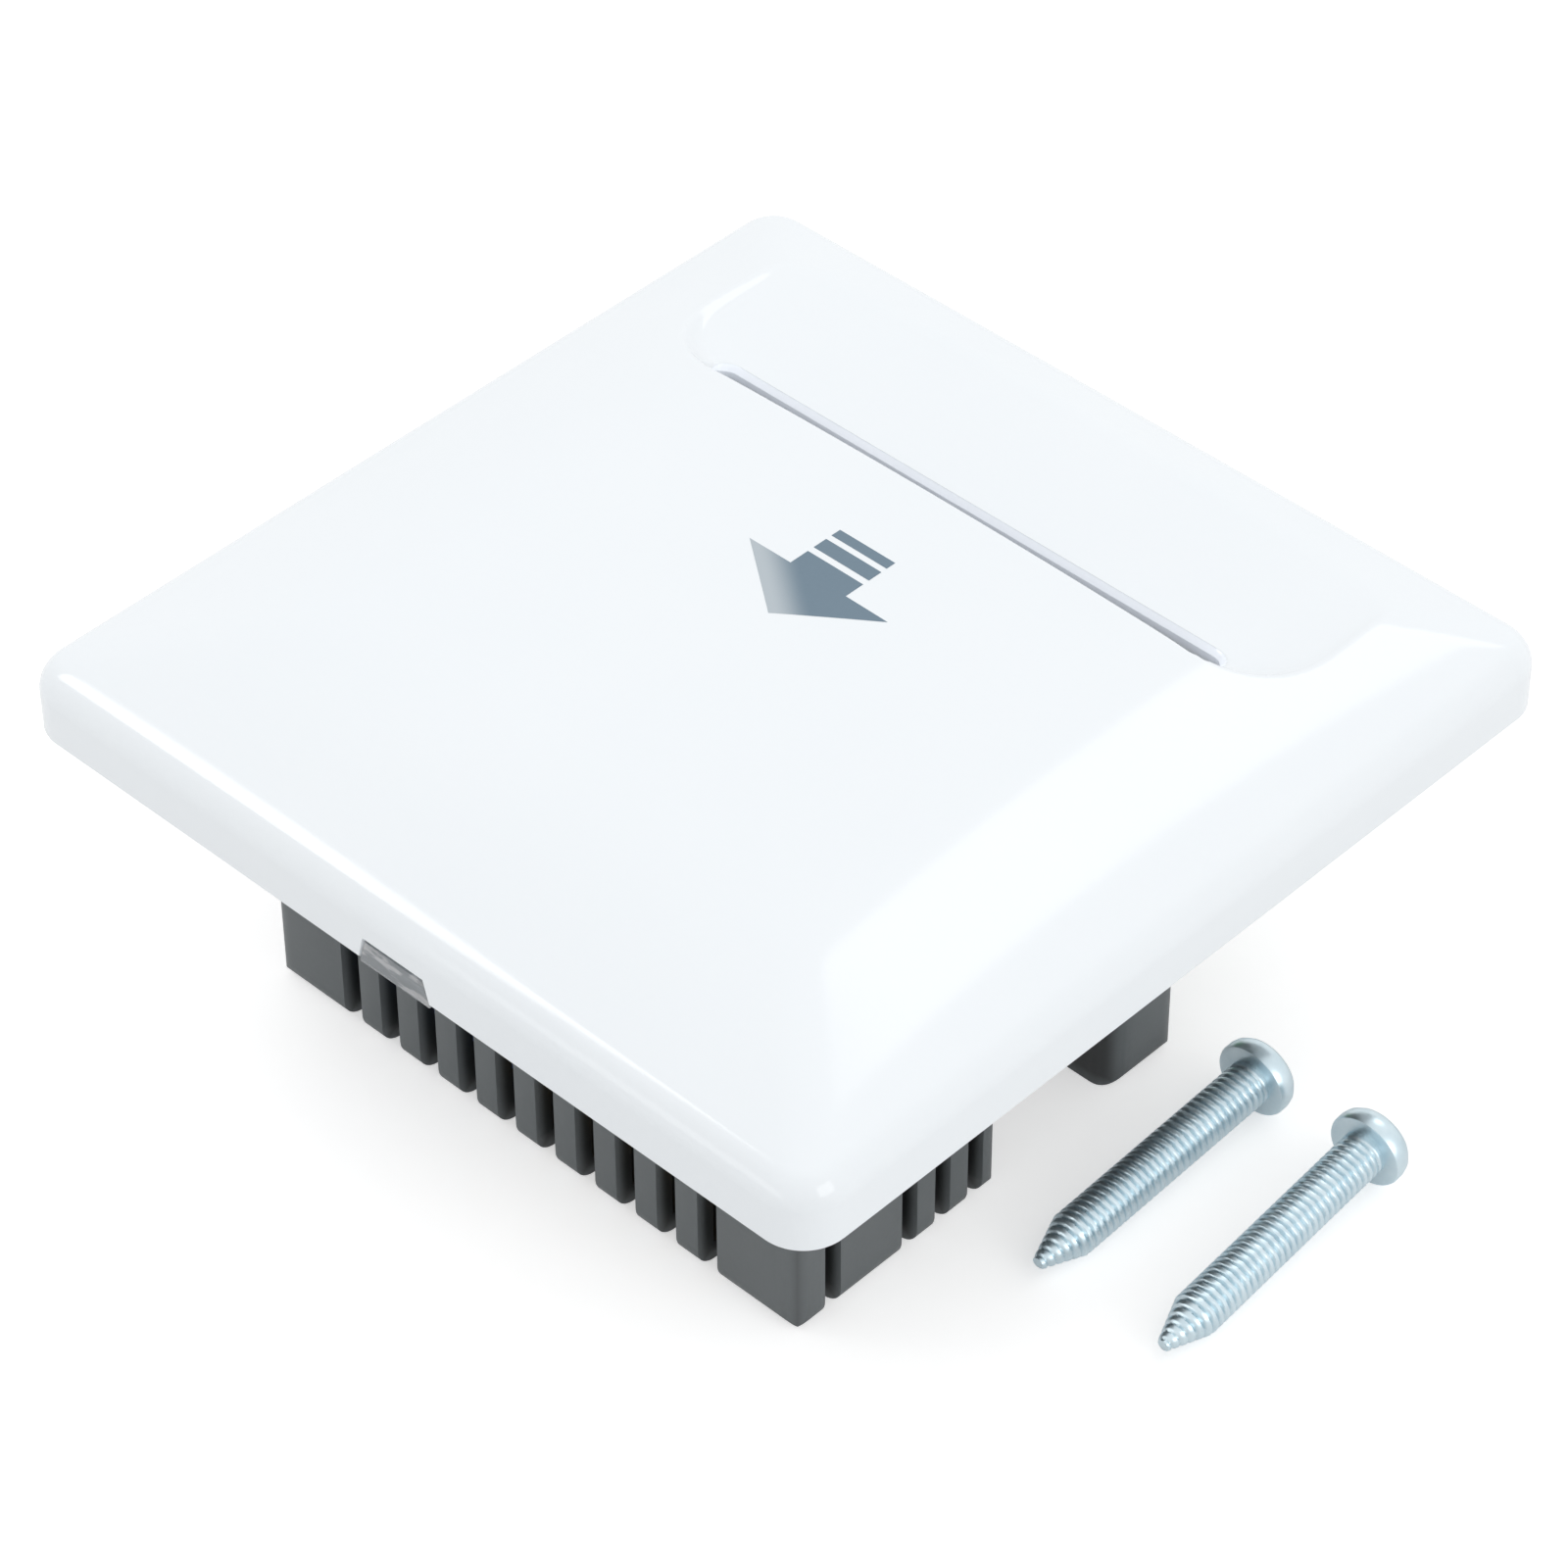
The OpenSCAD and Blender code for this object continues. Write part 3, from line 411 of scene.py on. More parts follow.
def noise(tree, coords, scale, detail=3.0, rough=0.5):
    node = tree.nodes.new("ShaderNodeTexNoise")
    node.inputs["Detail"].default_value = detail
    node.inputs["Roughness"].default_value = rough
    tree.links.new(coords, node.inputs["Vector"])
    feed(tree, node.inputs["Scale"], scale)
    return node.outputs["Fac"]


def math_node(tree, operation, *values):
    node = tree.nodes.new("ShaderNodeMath")
    node.operation = operation
    for socket, value in zip(node.inputs, values):
        feed(tree, socket, value)
    return node.outputs[0]


def spread(tree, value, low, high):
    """Stretches a value from 0 to 1 over low to high."""
    node = tree.nodes.new("ShaderNodeMapRange")
    tree.links.new(value, node.inputs["Value"])
    feed(tree, node.inputs["To Min"], low)
    feed(tree, node.inputs["To Max"], high)
    return node.outputs["Result"]


def blend(tree, factor, first, second):
    """Mixes two colours; sockets 6 and 7, and output 2, are the colour ones of a Mix node."""
    node = tree.nodes.new("ShaderNodeMix")
    node.data_type = "RGBA"
    for number, value in ((0, factor), (6, first), (7, second)):
        feed(tree, node.inputs[number], value)
    return node.outputs[2]


def soft_mask(tree, value, start, full):
    """Soft mask: 0 at start, 1 at full."""
    mask = tree.nodes.new("ShaderNodeMapRange")
    mask.interpolation_type = "SMOOTHSTEP"
    mask.inputs["From Min"].default_value = start
    mask.inputs["From Max"].default_value = full
    tree.links.new(value, mask.inputs["Value"])
    return mask.outputs["Result"]


def fade(tree, value, start, full):
    """Soft mask over a length, with start and full in millimetres."""
    return soft_mask(tree, value, start * MM, full * MM)


def moulded_group():
    """Moulded plastic: slow cloudiness of the tint, fine grain, slight changes of gloss."""
    group, given, result = new_group(
        "moulded_plastic",
        [("Tint", COLOUR, (0.8, 0.8, 0.8, 1)), ("Cloud", COLOUR, (0.7, 0.7, 0.7, 1)),
         ("Grain Scale", FLOAT, 2600.0), ("Rough Low", FLOAT, 0.3), ("Rough High", FLOAT, 0.4)],
        [("Color", COLOUR), ("Roughness", FLOAT), ("Height", FLOAT)])
    coords = object_coords(group)
    cloud = noise(group, coords, scale=60.0, detail=2.0)
    grain = noise(group, coords, given.outputs["Grain Scale"], detail=2.0, rough=0.6)
    amount = math_node(group, "ADD", math_node(group, "MULTIPLY", cloud, CLOUD_SHARE),
                       math_node(group, "MULTIPLY", grain, GRAIN_SHARE))
    colour = blend(group, amount, given.outputs["Tint"], given.outputs["Cloud"])
    rough = spread(group, cloud, given.outputs["Rough Low"], given.outputs["Rough High"])
    for label, value in (("Color", colour), ("Roughness", rough), ("Height", grain)):
        group.links.new(value, result.inputs[label])
    return group


def plated_group():
    """Plated metal: patches of duller plating and a fine grain."""
    group, given, result = new_group(
        "plated_metal",
        [("Tint", COLOUR, (0.7, 0.72, 0.75, 1)), ("Dull", COLOUR, (0.5, 0.52, 0.55, 1)),
         ("Rough Low", FLOAT, 0.2), ("Rough High", FLOAT, 0.4)],
        [("Color", COLOUR), ("Roughness", FLOAT), ("Height", FLOAT)])
    coords = object_coords(group)
    patches = noise(group, coords, scale=420.0, detail=4.0, rough=0.6)
    fine = noise(group, coords, scale=3800.0, detail=2.0)
    colour = blend(group, patches, given.outputs["Tint"], given.outputs["Dull"])
    rough = spread(group, patches, given.outputs["Rough Low"], given.outputs["Rough High"])
    for label, value in (("Color", colour), ("Roughness", rough), ("Height", fine)):
        group.links.new(value, result.inputs[label])
    return group


MOULDED = moulded_group()
PLATED = plated_group()


# Materials

def tree_and_shader(material):
    """The node tree of a material, and its shader."""
    return material.node_tree, material.node_tree.nodes["Principled BSDF"]


def start_material(name):
    material = bpy.data.materials.new(name)
    material.use_nodes = True
    return material, *tree_and_shader(material)


def linear(colour):
    """Linear value of a colour given as seen, 0 to 255."""
    def channel(c):
        c = c / 255
        return c / 12.92 if c <= 0.04045 else ((c + 0.055) / 1.055) ** 2.4
    return tuple(channel(c) for c in colour) + (1.0,)


def add_bump(tree, shader, height, strength, relief):
    """Fine relief of the surface, with its depth in millimetres."""
    bump = tree.nodes.new("ShaderNodeBump")
    bump.inputs["Strength"].default_value = strength
    bump.inputs["Distance"].default_value = relief * MM
    tree.links.new(height, bump.inputs["Height"])
    tree.links.new(bump.outputs["Normal"], shader.inputs["Normal"])


def place_group(tree, shader, shared, values, strength, relief):
    """Puts a shared group in a material and feeds the shader from it."""
    group = tree.nodes.new("ShaderNodeGroup")
    group.node_tree = shared
    for label, value in values.items():
        group.inputs[label].default_value = value
    tree.links.new(group.outputs["Color"], shader.inputs["Base Color"])
    tree.links.new(group.outputs["Roughness"], shader.inputs["Roughness"])
    add_bump(tree, shader, group.outputs["Height"], strength, relief)


def plastic(name, tint, cloud, rough, grain=2600.0, relief=0.01, strength=0.3):
    """Moulded plastic; tint and cloud are its two colours, rough its range of roughness."""
    material, tree, shader = start_material(name)
    values = {"Tint": linear(tint), "Cloud": linear(cloud), "Grain Scale": grain,
              "Rough Low": rough[0], "Rough High": rough[1]}
    place_group(tree, shader, MOULDED, values, strength, relief)
    return material


def metal(name, tint, dull, rough, strength=0.15, relief=0.004):
    """Plated or bare metal; dull is the colour of its duller patches."""
    material, tree, shader = start_material(name)
    values = {"Tint": linear(tint), "Dull": linear(dull), "Rough Low": rough[0], "Rough High": rough[1]}
    shader.inputs["Metallic"].default_value = 1.0
    place_group(tree, shader, PLATED, values, strength, relief)
    return material


def clear_plastic(name, tint, cloud, rough, through):
    """Clear plastic or glass; through is the share of light that it lets pass."""
    material = plastic(name, tint, cloud, rough, grain=900.0, relief=0.02, strength=0.25)
    shader = tree_and_shader(material)[1]
    shader.inputs["Transmission Weight"].default_value = through
    shader.inputs["IOR"].default_value = CLEAR_IOR
    return material


def object_place(tree):
    """Where a point lies on its piece: x, y and z in metres."""
    place = tree.nodes.new("ShaderNodeSeparateXYZ")
    tree.links.new(object_coords(tree), place.inputs[0])
    return tuple(place.outputs)


def paint_over(tree, shader, mask, colour):
    """Lays a colour over the material's own where the mask is 1."""
    own = shader.inputs["Base Color"].links[0].from_socket
    tree.links.new(blend(tree, mask, own, colour), shader.inputs["Base Color"])


def cover_plastic(name, tint, cloud, rough):
    """White shell plastic; the slot's walls give off a painted glow that lightens their shade."""
    material = plastic(name, tint, cloud, rough, grain=1500.0, relief=0.006, strength=0.06)
    tree, shader = tree_and_shader(material)
    x, y, z = object_place(tree)
    low = fade(tree, z, *PAINTED_GLOW_TOP)
    deep = fade(tree, z, *PAINTED_GLOW_FOOT)
    from_middle = math_node(tree, "SUBTRACT", y, (SLOT_Y + SLOT_W / 2) * MM)
    near = fade(tree, math_node(tree, "ABSOLUTE", from_middle), *PAINTED_GLOW_BESIDE)
    ends = fade(tree, math_node(tree, "ABSOLUTE", x), *PAINTED_GLOW_ENDS)
    glow = math_node(tree, "MULTIPLY", math_node(tree, "MULTIPLY", low, deep),
                     math_node(tree, "MULTIPLY", near, ends))
    tree.links.new(blend(tree, glow, (0, 0, 0, 1), PAINTED_GLOW_COLOUR), shader.inputs["Emission Color"])
    shader.inputs["Emission Strength"].default_value = 1.0
    return material


def printed_ink(name, tint, cloud, painted_reflection, rough):
    """Print with a painted reflection that pales it toward the arrow's left wing."""
    material = plastic(name, tint, cloud, rough, grain=3000.0, relief=0.005, strength=0.1)
    tree, shader = tree_and_shader(material)
    x, y = object_place(tree)[:2]
    run = Vector((ARROW_HALF, ARROW_TIP - ARROW_WING)).normalized()
    from_tip = math_node(tree, "SUBTRACT", y, ARROW_TIP * MM)
    in_from_edge = math_node(tree, "ADD", math_node(tree, "MULTIPLY", x, -run.y),
                             math_node(tree, "MULTIPLY", from_tip, run.x))
    paint_over(tree, shader, fade(tree, in_from_edge, PAINTED_REFLECTION_START, PAINTED_REFLECTION_FULL), linear(painted_reflection))
    return material


def housing_plastic(name, tint, cloud, rough):
    """Housing plastic with painted shade inside its slits and notches."""
    material = plastic(name, tint, cloud, rough, grain=2200.0, relief=0.03, strength=0.35)
    tree, shader = tree_and_shader(material)
    x, y, z = object_place(tree)
    depth = math_node(tree, "SUBTRACT", BOX_HALF * MM, math_node(tree, "ABSOLUTE", x))
    for edge in (math_node(tree, "ADD", y, BOX_LOW * MM), math_node(tree, "SUBTRACT", BOX_HIGH * MM, y),
                 math_node(tree, "SUBTRACT", z, FLOOR_Z * MM)):
        depth = math_node(tree, "MINIMUM", depth, edge)
    painted_shade = tuple(RECESS_SHADE_SHARE * c for c in linear(tint)[:3]) + (1.0,)
    paint_over(tree, shader, fade(tree, depth, RECESS_SHADE_START, RECESS_SHADE_FULL), painted_shade)
    return material


def window_plastic(name, tint, cloud, painted_glint, rough, through):
    """Clear insert with streaks that run along the rim: a bump relief, and pale painted glints on them."""
    material = clear_plastic(name, tint, cloud, rough, through)
    tree, shader = tree_and_shader(material)
    along = tree.nodes.new("ShaderNodeVectorMath")
    along.operation = "MULTIPLY"
    along.inputs[1].default_value = STREAK_STRETCH
    tree.links.new(object_coords(tree), along.inputs[0])
    flow = noise(tree, along.outputs["Vector"], STREAK_SCALE, detail=3.0, rough=0.6)
    paint_over(tree, shader, soft_mask(tree, flow, *PAINTED_GLINT_RANGE), linear(painted_glint))
    add_bump(tree, shader, flow, strength=0.5, relief=0.12)
    return material


# Cover, its pegs and its print

def grid_lines():
    """Lines of the cover's mesh across X and Y, closer at the rim, the slot and the scoop."""
    rim = arc_lines(HALF, RIM_ROUND, RIM_ARC_STEP)
    right = steps(0, WINDOW_TOP, WINDOW_PITCH) + [WINDOW_TOP] + steps(WINDOW_FOOT, SCOOP_END_FROM, FACE_PITCH)
    right += steps(SCOOP_END_FROM, SCOOP_END_TO, SCOOP_END_PITCH)
    right += steps(SCOOP_END_TO, rim[0], ROLL_PITCH) + rim
    x_lines = [-x for x in reversed(right[1:])] + right
    lip = arc_lines(SLOT_Y, LIP_ROUND, LIP_ARC_STEP)
    sill_y = SLOT_Y + SLOT_W
    sill_end = sill_y + SILL_EASE
    sill = steps(sill_y, sill_end, SILL_PITCH) + [sill_end, sill_end + SILL_EDGE]
    y_lines = [-y for y in reversed(rim)] + steps(-rim[0], lip[0], FACE_PITCH)[1:] + lip
    y_lines += steps(SLOT_Y, sill_y, SLOT_PITCH)[1:] + sill + steps(sill[-1], rim[0], SCOOP_PITCH)[1:] + rim
    return np.array(x_lines), np.array(y_lines)


def round_corners(u, v):
    """Moves the mesh lines near the corners onto the rounded plan of the cover."""
    a = np.abs(u)
    b = np.abs(v)
    level = np.maximum(a, b)
    outer = HALF - (CORNER_R - HIP_R)
    hip = HIP_R * (level - HIP_START) / (outer - HIP_START)
    r = np.maximum(np.where(level > outer, CORNER_R - (HALF - level), hip), TINY)
    low = np.minimum(a, b)
    turn = np.clip((low - (level - r)) / r, 0, 1) * math.pi / 4
    bent = turn > 0
    long_side = np.where(bent, level - r + r * np.cos(turn), level)
    short_side = np.where(bent, level - r + r * np.sin(turn), low)
    x = np.where(a >= b, long_side, short_side)
    y = np.where(a >= b, short_side, long_side)
    return np.sign(u) * x, np.sign(v) * y


def slot_edge(open_cell):
    """Mesh points that belong both to the open slot and to the shell around it."""
    rows, cols = open_cell.shape
    within = np.zeros((rows + 1, cols + 1), bool)
    beside = np.zeros((rows + 1, cols + 1), bool)
    for di in (0, 1):
        for dj in (0, 1):
            view = (slice(di, rows + di), slice(dj, cols + dj))
            within[view] |= open_cell
            beside[view] |= ~open_cell
    return within & beside


def onto_slot(x, y):
    """Nearest points on the slot's outline."""
    r = SLOT_W / 2
    run = SLOT_HALF - r
    along = np.clip(x, -run, run)
    across = y - SLOT_Y - r
    reach = np.maximum(np.hypot(x - along, across), TINY)
    return along + (x - along) * r / reach, SLOT_Y + r + across * r / reach


def skin_faces(open_cell):
    """Faces of the cover's outside and inside, and the edges where they end."""
    rows, cols = open_cell.shape
    across = cols + 1
    under = (rows + 1) * across
    faces = []
    ends = {}
    for i in range(rows):
        for j in range(cols):
            if open_cell[i, j]:
                continue
            near = i * across + j
            ring = (near, near + across, near + across + 1, near + 1)
            faces.append(ring)
            faces.append(tuple(under + k for k in reversed(ring)))
            for a, b in zip(ring, ring[1:] + ring[:1]):
                if (b, a) in ends:
                    del ends[(b, a)]
                else:
                    ends[(a, b)] = True
    return faces, list(ends)


def foot_points(outer, inner):
    """Rounded foot of the rim below one point of its outside; it lifts over the light window."""
    x, y = outer[:2]
    low = 0.0
    if y < 0 and abs(x) < WINDOW_FOOT:
        low = WINDOW_H * min(1.0, (WINDOW_FOOT - abs(x)) / (WINDOW_FOOT - WINDOW_TOP))
    pull = FOOT_ROUND / WALL
    return [[x, y, low + FOOT_ROUND],
            [x + (inner[0] - x) * pull, y + (inner[1] - y) * pull, low],
            [inner[0], inner[1], low]]


def cover_points():
    """Points of the cover's outside, then of its inside, and which mesh cells the slot leaves open."""
    x_lines, y_lines = grid_lines()
    u, v = np.meshgrid(x_lines, y_lines, indexing="ij")
    x, y = round_corners(u, v)
    open_cell = slot_distance((u[1:, 1:] + u[:-1, :-1]) / 2, (v[1:, 1:] + v[:-1, :-1]) / 2) < 0
    edge = slot_edge(open_cell)
    edge_x, edge_y = onto_slot(x, y)
    x = np.where(edge, edge_x, x)
    y = np.where(edge, edge_y, y)

    # The inside lies one wall lower and is drawn in at the rim.
    lip_side = y <= SLOT_Y + SLOT_HIT
    outer_z = np.where(lip_side, dome_height(x, y), cover_height(x, y)) - edge_fall(x, y)
    level = np.maximum(np.abs(u), np.abs(v))
    draw = 1 - WALL * smooth_step(level, DRAW_START, HALF) / np.maximum(level, 1.0)
    inner_x = x * draw
    inner_y = y * draw
    inner_z = np.where(lip_side, dome_height(inner_x, inner_y), cover_height(inner_x, inner_y)) - WALL

    # The walls at the slot's ends reach down as far as the sill's.
    inner_z = np.where(edge & ~lip_side, SCOOP_H - WALL, inner_z)
    outer_face = np.stack([x, y, outer_z], -1).reshape(-1, 3)
    inner_face = np.stack([inner_x, inner_y, inner_z], -1).reshape(-1, 3)
    return np.concatenate([outer_face, inner_face]).tolist(), open_cell


def cover_mesh():
    """Slot walls join the outside and the inside; the rim's walls run down to the foot."""
    points, open_cell = cover_points()
    under = len(points) // 2
    faces, ends = skin_faces(open_cell)
    between = (SLOT_HALF + HALF) / 2
    foot = {}
    for a, b in ends:
        if max(abs(points[a][0]), abs(points[a][1])) < between:
            faces.append((b, a, under + a, under + b))
            continue
        for k in (a, b):
            if k not in foot:
                foot[k] = (len(points), len(points) + 1, len(points) + 2)
                points.extend(foot_points(points[k], points[under + k]))
        down_a = (a, *foot[a], under + a)
        down_b = (b, *foot[b], under + b)
        for k in range(len(down_a) - 1):
            faces.append((down_b[k], down_a[k], down_a[k + 1], down_b[k + 1]))
    return points, faces


def build_cover(material):
    """Shell of the cover with its four pegs."""
    parts = [cover_mesh()]
    for px in (-PEG_PLACE, PEG_PLACE):
        for py in (-PEG_PLACE, PEG_PLACE):
            top = float(cover_height(np.array(px), np.array(py))) - WALL + PEG_BITE
            profile = [*PEG_TIP, (PEG_R, top - PEG_ROOT_H), (PEG_ROOT_R, top)]
            parts.append(lathe(profile, PEG_SIDES, (px, py, 0)))
    points, faces = joined(parts)
    cover = new_piece("cover_shell", points, faces, material, "cover", COVER_SHARP)
    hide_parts("front_cover")


def print_patch(rows, count):
    """A patch of print on the face; rows are (y, half width)."""
    points = []
    faces = []
    for y, half in rows:
        for i in range(count + 1):
            x = -half + 2 * half * i / count
            points.append((x, y, float(dome_height(np.array(x), np.array(y))) + PRINT_LIFT))
    across = count + 1
    for k in range(len(rows) - 1):
        for i in range(count):
            near = k * across + i
            faces.append((near, near + 1, near + across + 1, near + across))
    return points, faces


def build_arrow(material):
    """Arrow toward the user: two short bars, a shaft and a wide head."""
    rise = ARROW_WING - ARROW_TIP
    head = [(ARROW_TIP + rise * i / HEAD_ROWS, ARROW_HALF * max(i / HEAD_ROWS, ARROW_TIP_SHARE))
            for i in range(HEAD_ROWS + 1)]
    parts = [print_patch(head, HEAD_ROWS)]
    for near, far in ARROW_BARS:
        rows = [(near + (far - near) * i / BAR_ROWS, BAR_HALF) for i in range(BAR_ROWS + 1)]
        parts.append(print_patch(rows, BAR_COLUMNS))
    points, faces = joined(parts)
    arrow = new_piece("arrow_print", points, faces, material, "cover")


# Loose screws

def shank_mesh():
    """Shank of a screw along +Z: tip at 0, thread cut as a helix."""
    lines = int(SCREW_L / (THREAD_PITCH / LINES_PER_PITCH))
    points = [(0.0, 0.0, 0.0)]
    for k in range(1, lines + 1):
        h = SCREW_L * k / lines
        crest = SCREW_D / 2 * min(1.0, TIP_BLUNT + (1 - TIP_BLUNT) * h / TIP_L)
        depth = THREAD_DEPTH * min(1.0, crest / (SCREW_D / 2) + TIP_THREAD)
        runout = min(1.0, (SCREW_L - h) / THREAD_RUNOUT)
        for i in range(SHANK_SIDES):
            turn = i / SHANK_SIDES
            phase = (h / THREAD_PITCH - turn) % 1.0
            ridge = 1 - abs(2 * phase - 1)
            r = crest - depth * (1 - min(1.0, THREAD_FLANK * ridge)) * runout
            a = 2 * math.pi * turn
            points.append((r * math.cos(a), r * math.sin(a), h))
    faces = [(0, 1 + (i + 1) % SHANK_SIDES, 1 + i) for i in range(SHANK_SIDES)]
    for k in range(lines - 1):
        faces.extend(ring_faces(1 + k * SHANK_SIDES, SHANK_SIDES))
    last = 1 + (lines - 1) * SHANK_SIDES
    faces.append(tuple(last + i for i in range(SHANK_SIDES)))
    return points, faces


def head_mesh(material):
    """Pan head of a screw on top of its shank, with the cross recess cut out."""
    r = HEAD_D / 2
    profile = [(SCREW_D / 2 - HEAD_NECK, SCREW_L)]
    profile += [(r - inset, SCREW_L + up) for inset, up in HEAD_PROFILE]
    profile.append((HEAD_FLAT_R, SCREW_L + HEAD_H))
    points, faces = lathe(profile, HEAD_SIDES)
    head = new_piece("screw_head", points, faces, material)
    low = SCREW_L + HEAD_H - CROSS_DEPTH
    top = SCREW_L + HEAD_H + CROSS_OVER
    box = [(3, 2, 1, 0), (4, 5, 6, 7), (0, 1, 5, 4), (1, 2, 6, 5), (2, 3, 7, 6), (3, 0, 4, 7)]
    arms = []
    for wide, deep in ((CROSS_REACH, CROSS_HALF), (CROSS_HALF, CROSS_REACH)):
        ring = [(sx * wide * share, sy * deep * share, z)
                for share, z in ((CROSS_TAPER, low), (1.0, top)) for sx, sy in CORNERS]
        arms.append(new_piece("recess_arm", ring, box, material))
    for arm in arms:
        cut = head.modifiers.new("recess", "BOOLEAN")
        cut.operation = "DIFFERENCE"
        cut.object = arm
        cut.solver = "EXACT"
    graph = bpy.context.evaluated_depsgraph_get()
    mesh = bpy.data.meshes.new_from_object(head.evaluated_get(graph))
    bm = bmesh.new()
    bm.from_mesh(mesh)
    bmesh.ops.dissolve_degenerate(bm, dist=HEAD_SLIVER * MM, edges=bm.edges)
    bm.to_mesh(mesh)
    bm.free()
    for piece in [head] + arms:
        bpy.data.objects.remove(piece)
    points = [tuple(c / MM for c in v.co) for v in mesh.vertices]
    return points, [tuple(p.vertices) for p in mesh.polygons]


def build_screws(material):
    """Both loose screws, lying on the floor."""
    shank = shank_mesh()
    head = head_mesh(material)
    tilt = math.atan((HEAD_D - SCREW_D) / 2 / (SCREW_L - TIP_L))
    tip_z = SCREW_D / 2 * math.cos(tilt) - TIP_L * math.sin(tilt) + FLOOR_Z
    parts = []
    for number, (px, py, turn) in enumerate(SCREW_PLACES):
        # The shank lies along +Y with the head's end a little higher than the tip's.
        lay = Matrix.Rotation(math.radians(turn), 4, "Z") @ Matrix.Rotation(tilt - math.pi / 2, 4, "X")
        spin = Matrix.Rotation(SPIN_FIRST + number * SPIN_STEP, 4, "Z")
        lay = Matrix.Translation((px, py, tip_z)) @ lay @ spin
        for points, faces in (shank, head):
            parts.append(([tuple(lay @ Vector(p)) for p in points], faces))
    points, faces = joined(parts)
    screws = new_piece("fixing_screws", points, faces, material, "base", SCREW_SHARP)
    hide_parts("mounting_screws")


# Stage

def build_camera():
    """Camera at the photograph's angle."""
    turn = math.radians(CAMERA_TURN)
    rise = math.radians(CAMERA_RISE)
    roll = math.radians(CAMERA_ROLL)
    back = Vector((math.sin(turn) * math.cos(rise), -math.cos(turn) * math.cos(rise), math.sin(rise)))
    right = Vector((math.cos(turn), math.sin(turn), 0))
    up = back.cross(right)
    across = right * math.cos(roll) + up * math.sin(roll)
    upward = up * math.cos(roll) - right * math.sin(roll)
    place = (Vector(CAMERA_AIM) + back * CAMERA_DISTANCE) * MM
    lens = bpy.data.cameras.new("photo_view")
    lens.lens = CAMERA_LENS
    lens.sensor_width = SENSOR_W
    lens.clip_start = CLIP_NEAR
    lens.clip_end = CLIP_FAR
    camera = bpy.data.objects.new("photo_view", lens)
    axes = Matrix((across, upward, back)).transposed().to_4x4()
    camera.matrix_world = Matrix.Translation(place) @ axes
    bpy.context.scene.collection.objects.link(camera)
    bpy.context.scene.camera = camera
    return camera


def softbox(name, place, across, wide, tall, power):
    """Soft lamp that faces the object; across is the way its width runs."""
    lamp = bpy.data.lights.new(name, "AREA")
    lamp.shape = "RECTANGLE"
    lamp.size = wide
    lamp.size_y = tall
    lamp.energy = power
    back = Vector(place).normalized()
    side = Vector(across)
    side = (side - back * side.dot(back)).normalized()
    axes = Matrix((side, back.cross(side), back)).transposed().to_4x4()
    box = bpy.data.objects.new(name, lamp)
    box.matrix_world = Matrix.Translation(place) @ axes
    bpy.context.scene.collection.objects.link(box)
    return box


def table_paint():
    """Matt white that keeps its shadows and is lifted towards white where it is looked at."""
    material, tree, shader = start_material("table_white")
    cloud = noise(tree, object_coords(tree), scale=3.0, detail=2.0)
    tree.links.new(blend(tree, cloud, TABLE_TINT, TABLE_CLOUD), shader.inputs["Base Color"])
    shader.inputs["Roughness"].default_value = 0.9
    shader.inputs["Specular IOR Level"].default_value = 0.1
    shader.inputs["Emission Color"].default_value = (1, 1, 1, 1)
    rays = tree.nodes.new("ShaderNodeLightPath").outputs
    mirrored = math_node(tree, "MAXIMUM", rays["Is Glossy Ray"], rays["Is Transmission Ray"])
    lift = math_node(tree, "ADD", math_node(tree, "MULTIPLY", rays["Is Camera Ray"], TABLE_LIFT),
                     math_node(tree, "MULTIPLY", mirrored, MIRROR_LIFT))
    tree.links.new(lift, shader.inputs["Emission Strength"])
    return material


def build_floor():
    """White table just under the object."""
    z = FLOOR_Z * MM - TABLE_DROP
    mesh = bpy.data.meshes.new("table_top")
    mesh.from_pydata([(sx * TABLE_HALF, sy * TABLE_HALF, z) for sx, sy in CORNERS], [], [(0, 1, 2, 3)])
    table = bpy.data.objects.new("table_top", mesh)
    bpy.context.scene.collection.objects.link(table)
    mesh.materials.append(table_paint())
    return table


def build_world():
    """White room, whose light is strongest from above and behind."""
    world = bpy.data.worlds.new("white_room")
    bpy.context.scene.world = world
    world.use_nodes = True
    tree = world.node_tree
    rays = tree.nodes.new("ShaderNodeLightPath").outputs
    seen = math_node(tree, "MAXIMUM", rays["Is Camera Ray"], rays["Is Glossy Ray"])
    seen = math_node(tree, "MAXIMUM", seen, rays["Is Transmission Ray"])
    background = tree.nodes["Background"]
    background.inputs["Color"].default_value = (1, 1, 1, 1)
    slope = tree.nodes.new("ShaderNodeVectorMath")
    slope.operation = "DOT_PRODUCT"
    slope.inputs[1].default_value = ROOM_SLOPE
    tree.links.new(tree.nodes.new("ShaderNodeTexCoord").outputs["Generated"], slope.inputs[0])
    room = math_node(tree, "ADD", slope.outputs["Value"], ROOM_LEVEL)
    tree.links.new(spread(tree, seen, room, 1.0), background.inputs["Strength"])


# Build

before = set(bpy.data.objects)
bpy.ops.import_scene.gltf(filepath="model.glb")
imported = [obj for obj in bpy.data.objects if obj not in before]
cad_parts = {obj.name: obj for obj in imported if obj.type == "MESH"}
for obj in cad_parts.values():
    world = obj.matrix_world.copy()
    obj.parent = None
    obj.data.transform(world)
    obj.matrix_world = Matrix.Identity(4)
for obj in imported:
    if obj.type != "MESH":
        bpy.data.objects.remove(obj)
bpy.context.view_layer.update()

GLOSS_WHITE = cover_plastic("gloss_white", (245, 249, 252), (241, 246, 250), (0.08, 0.12))
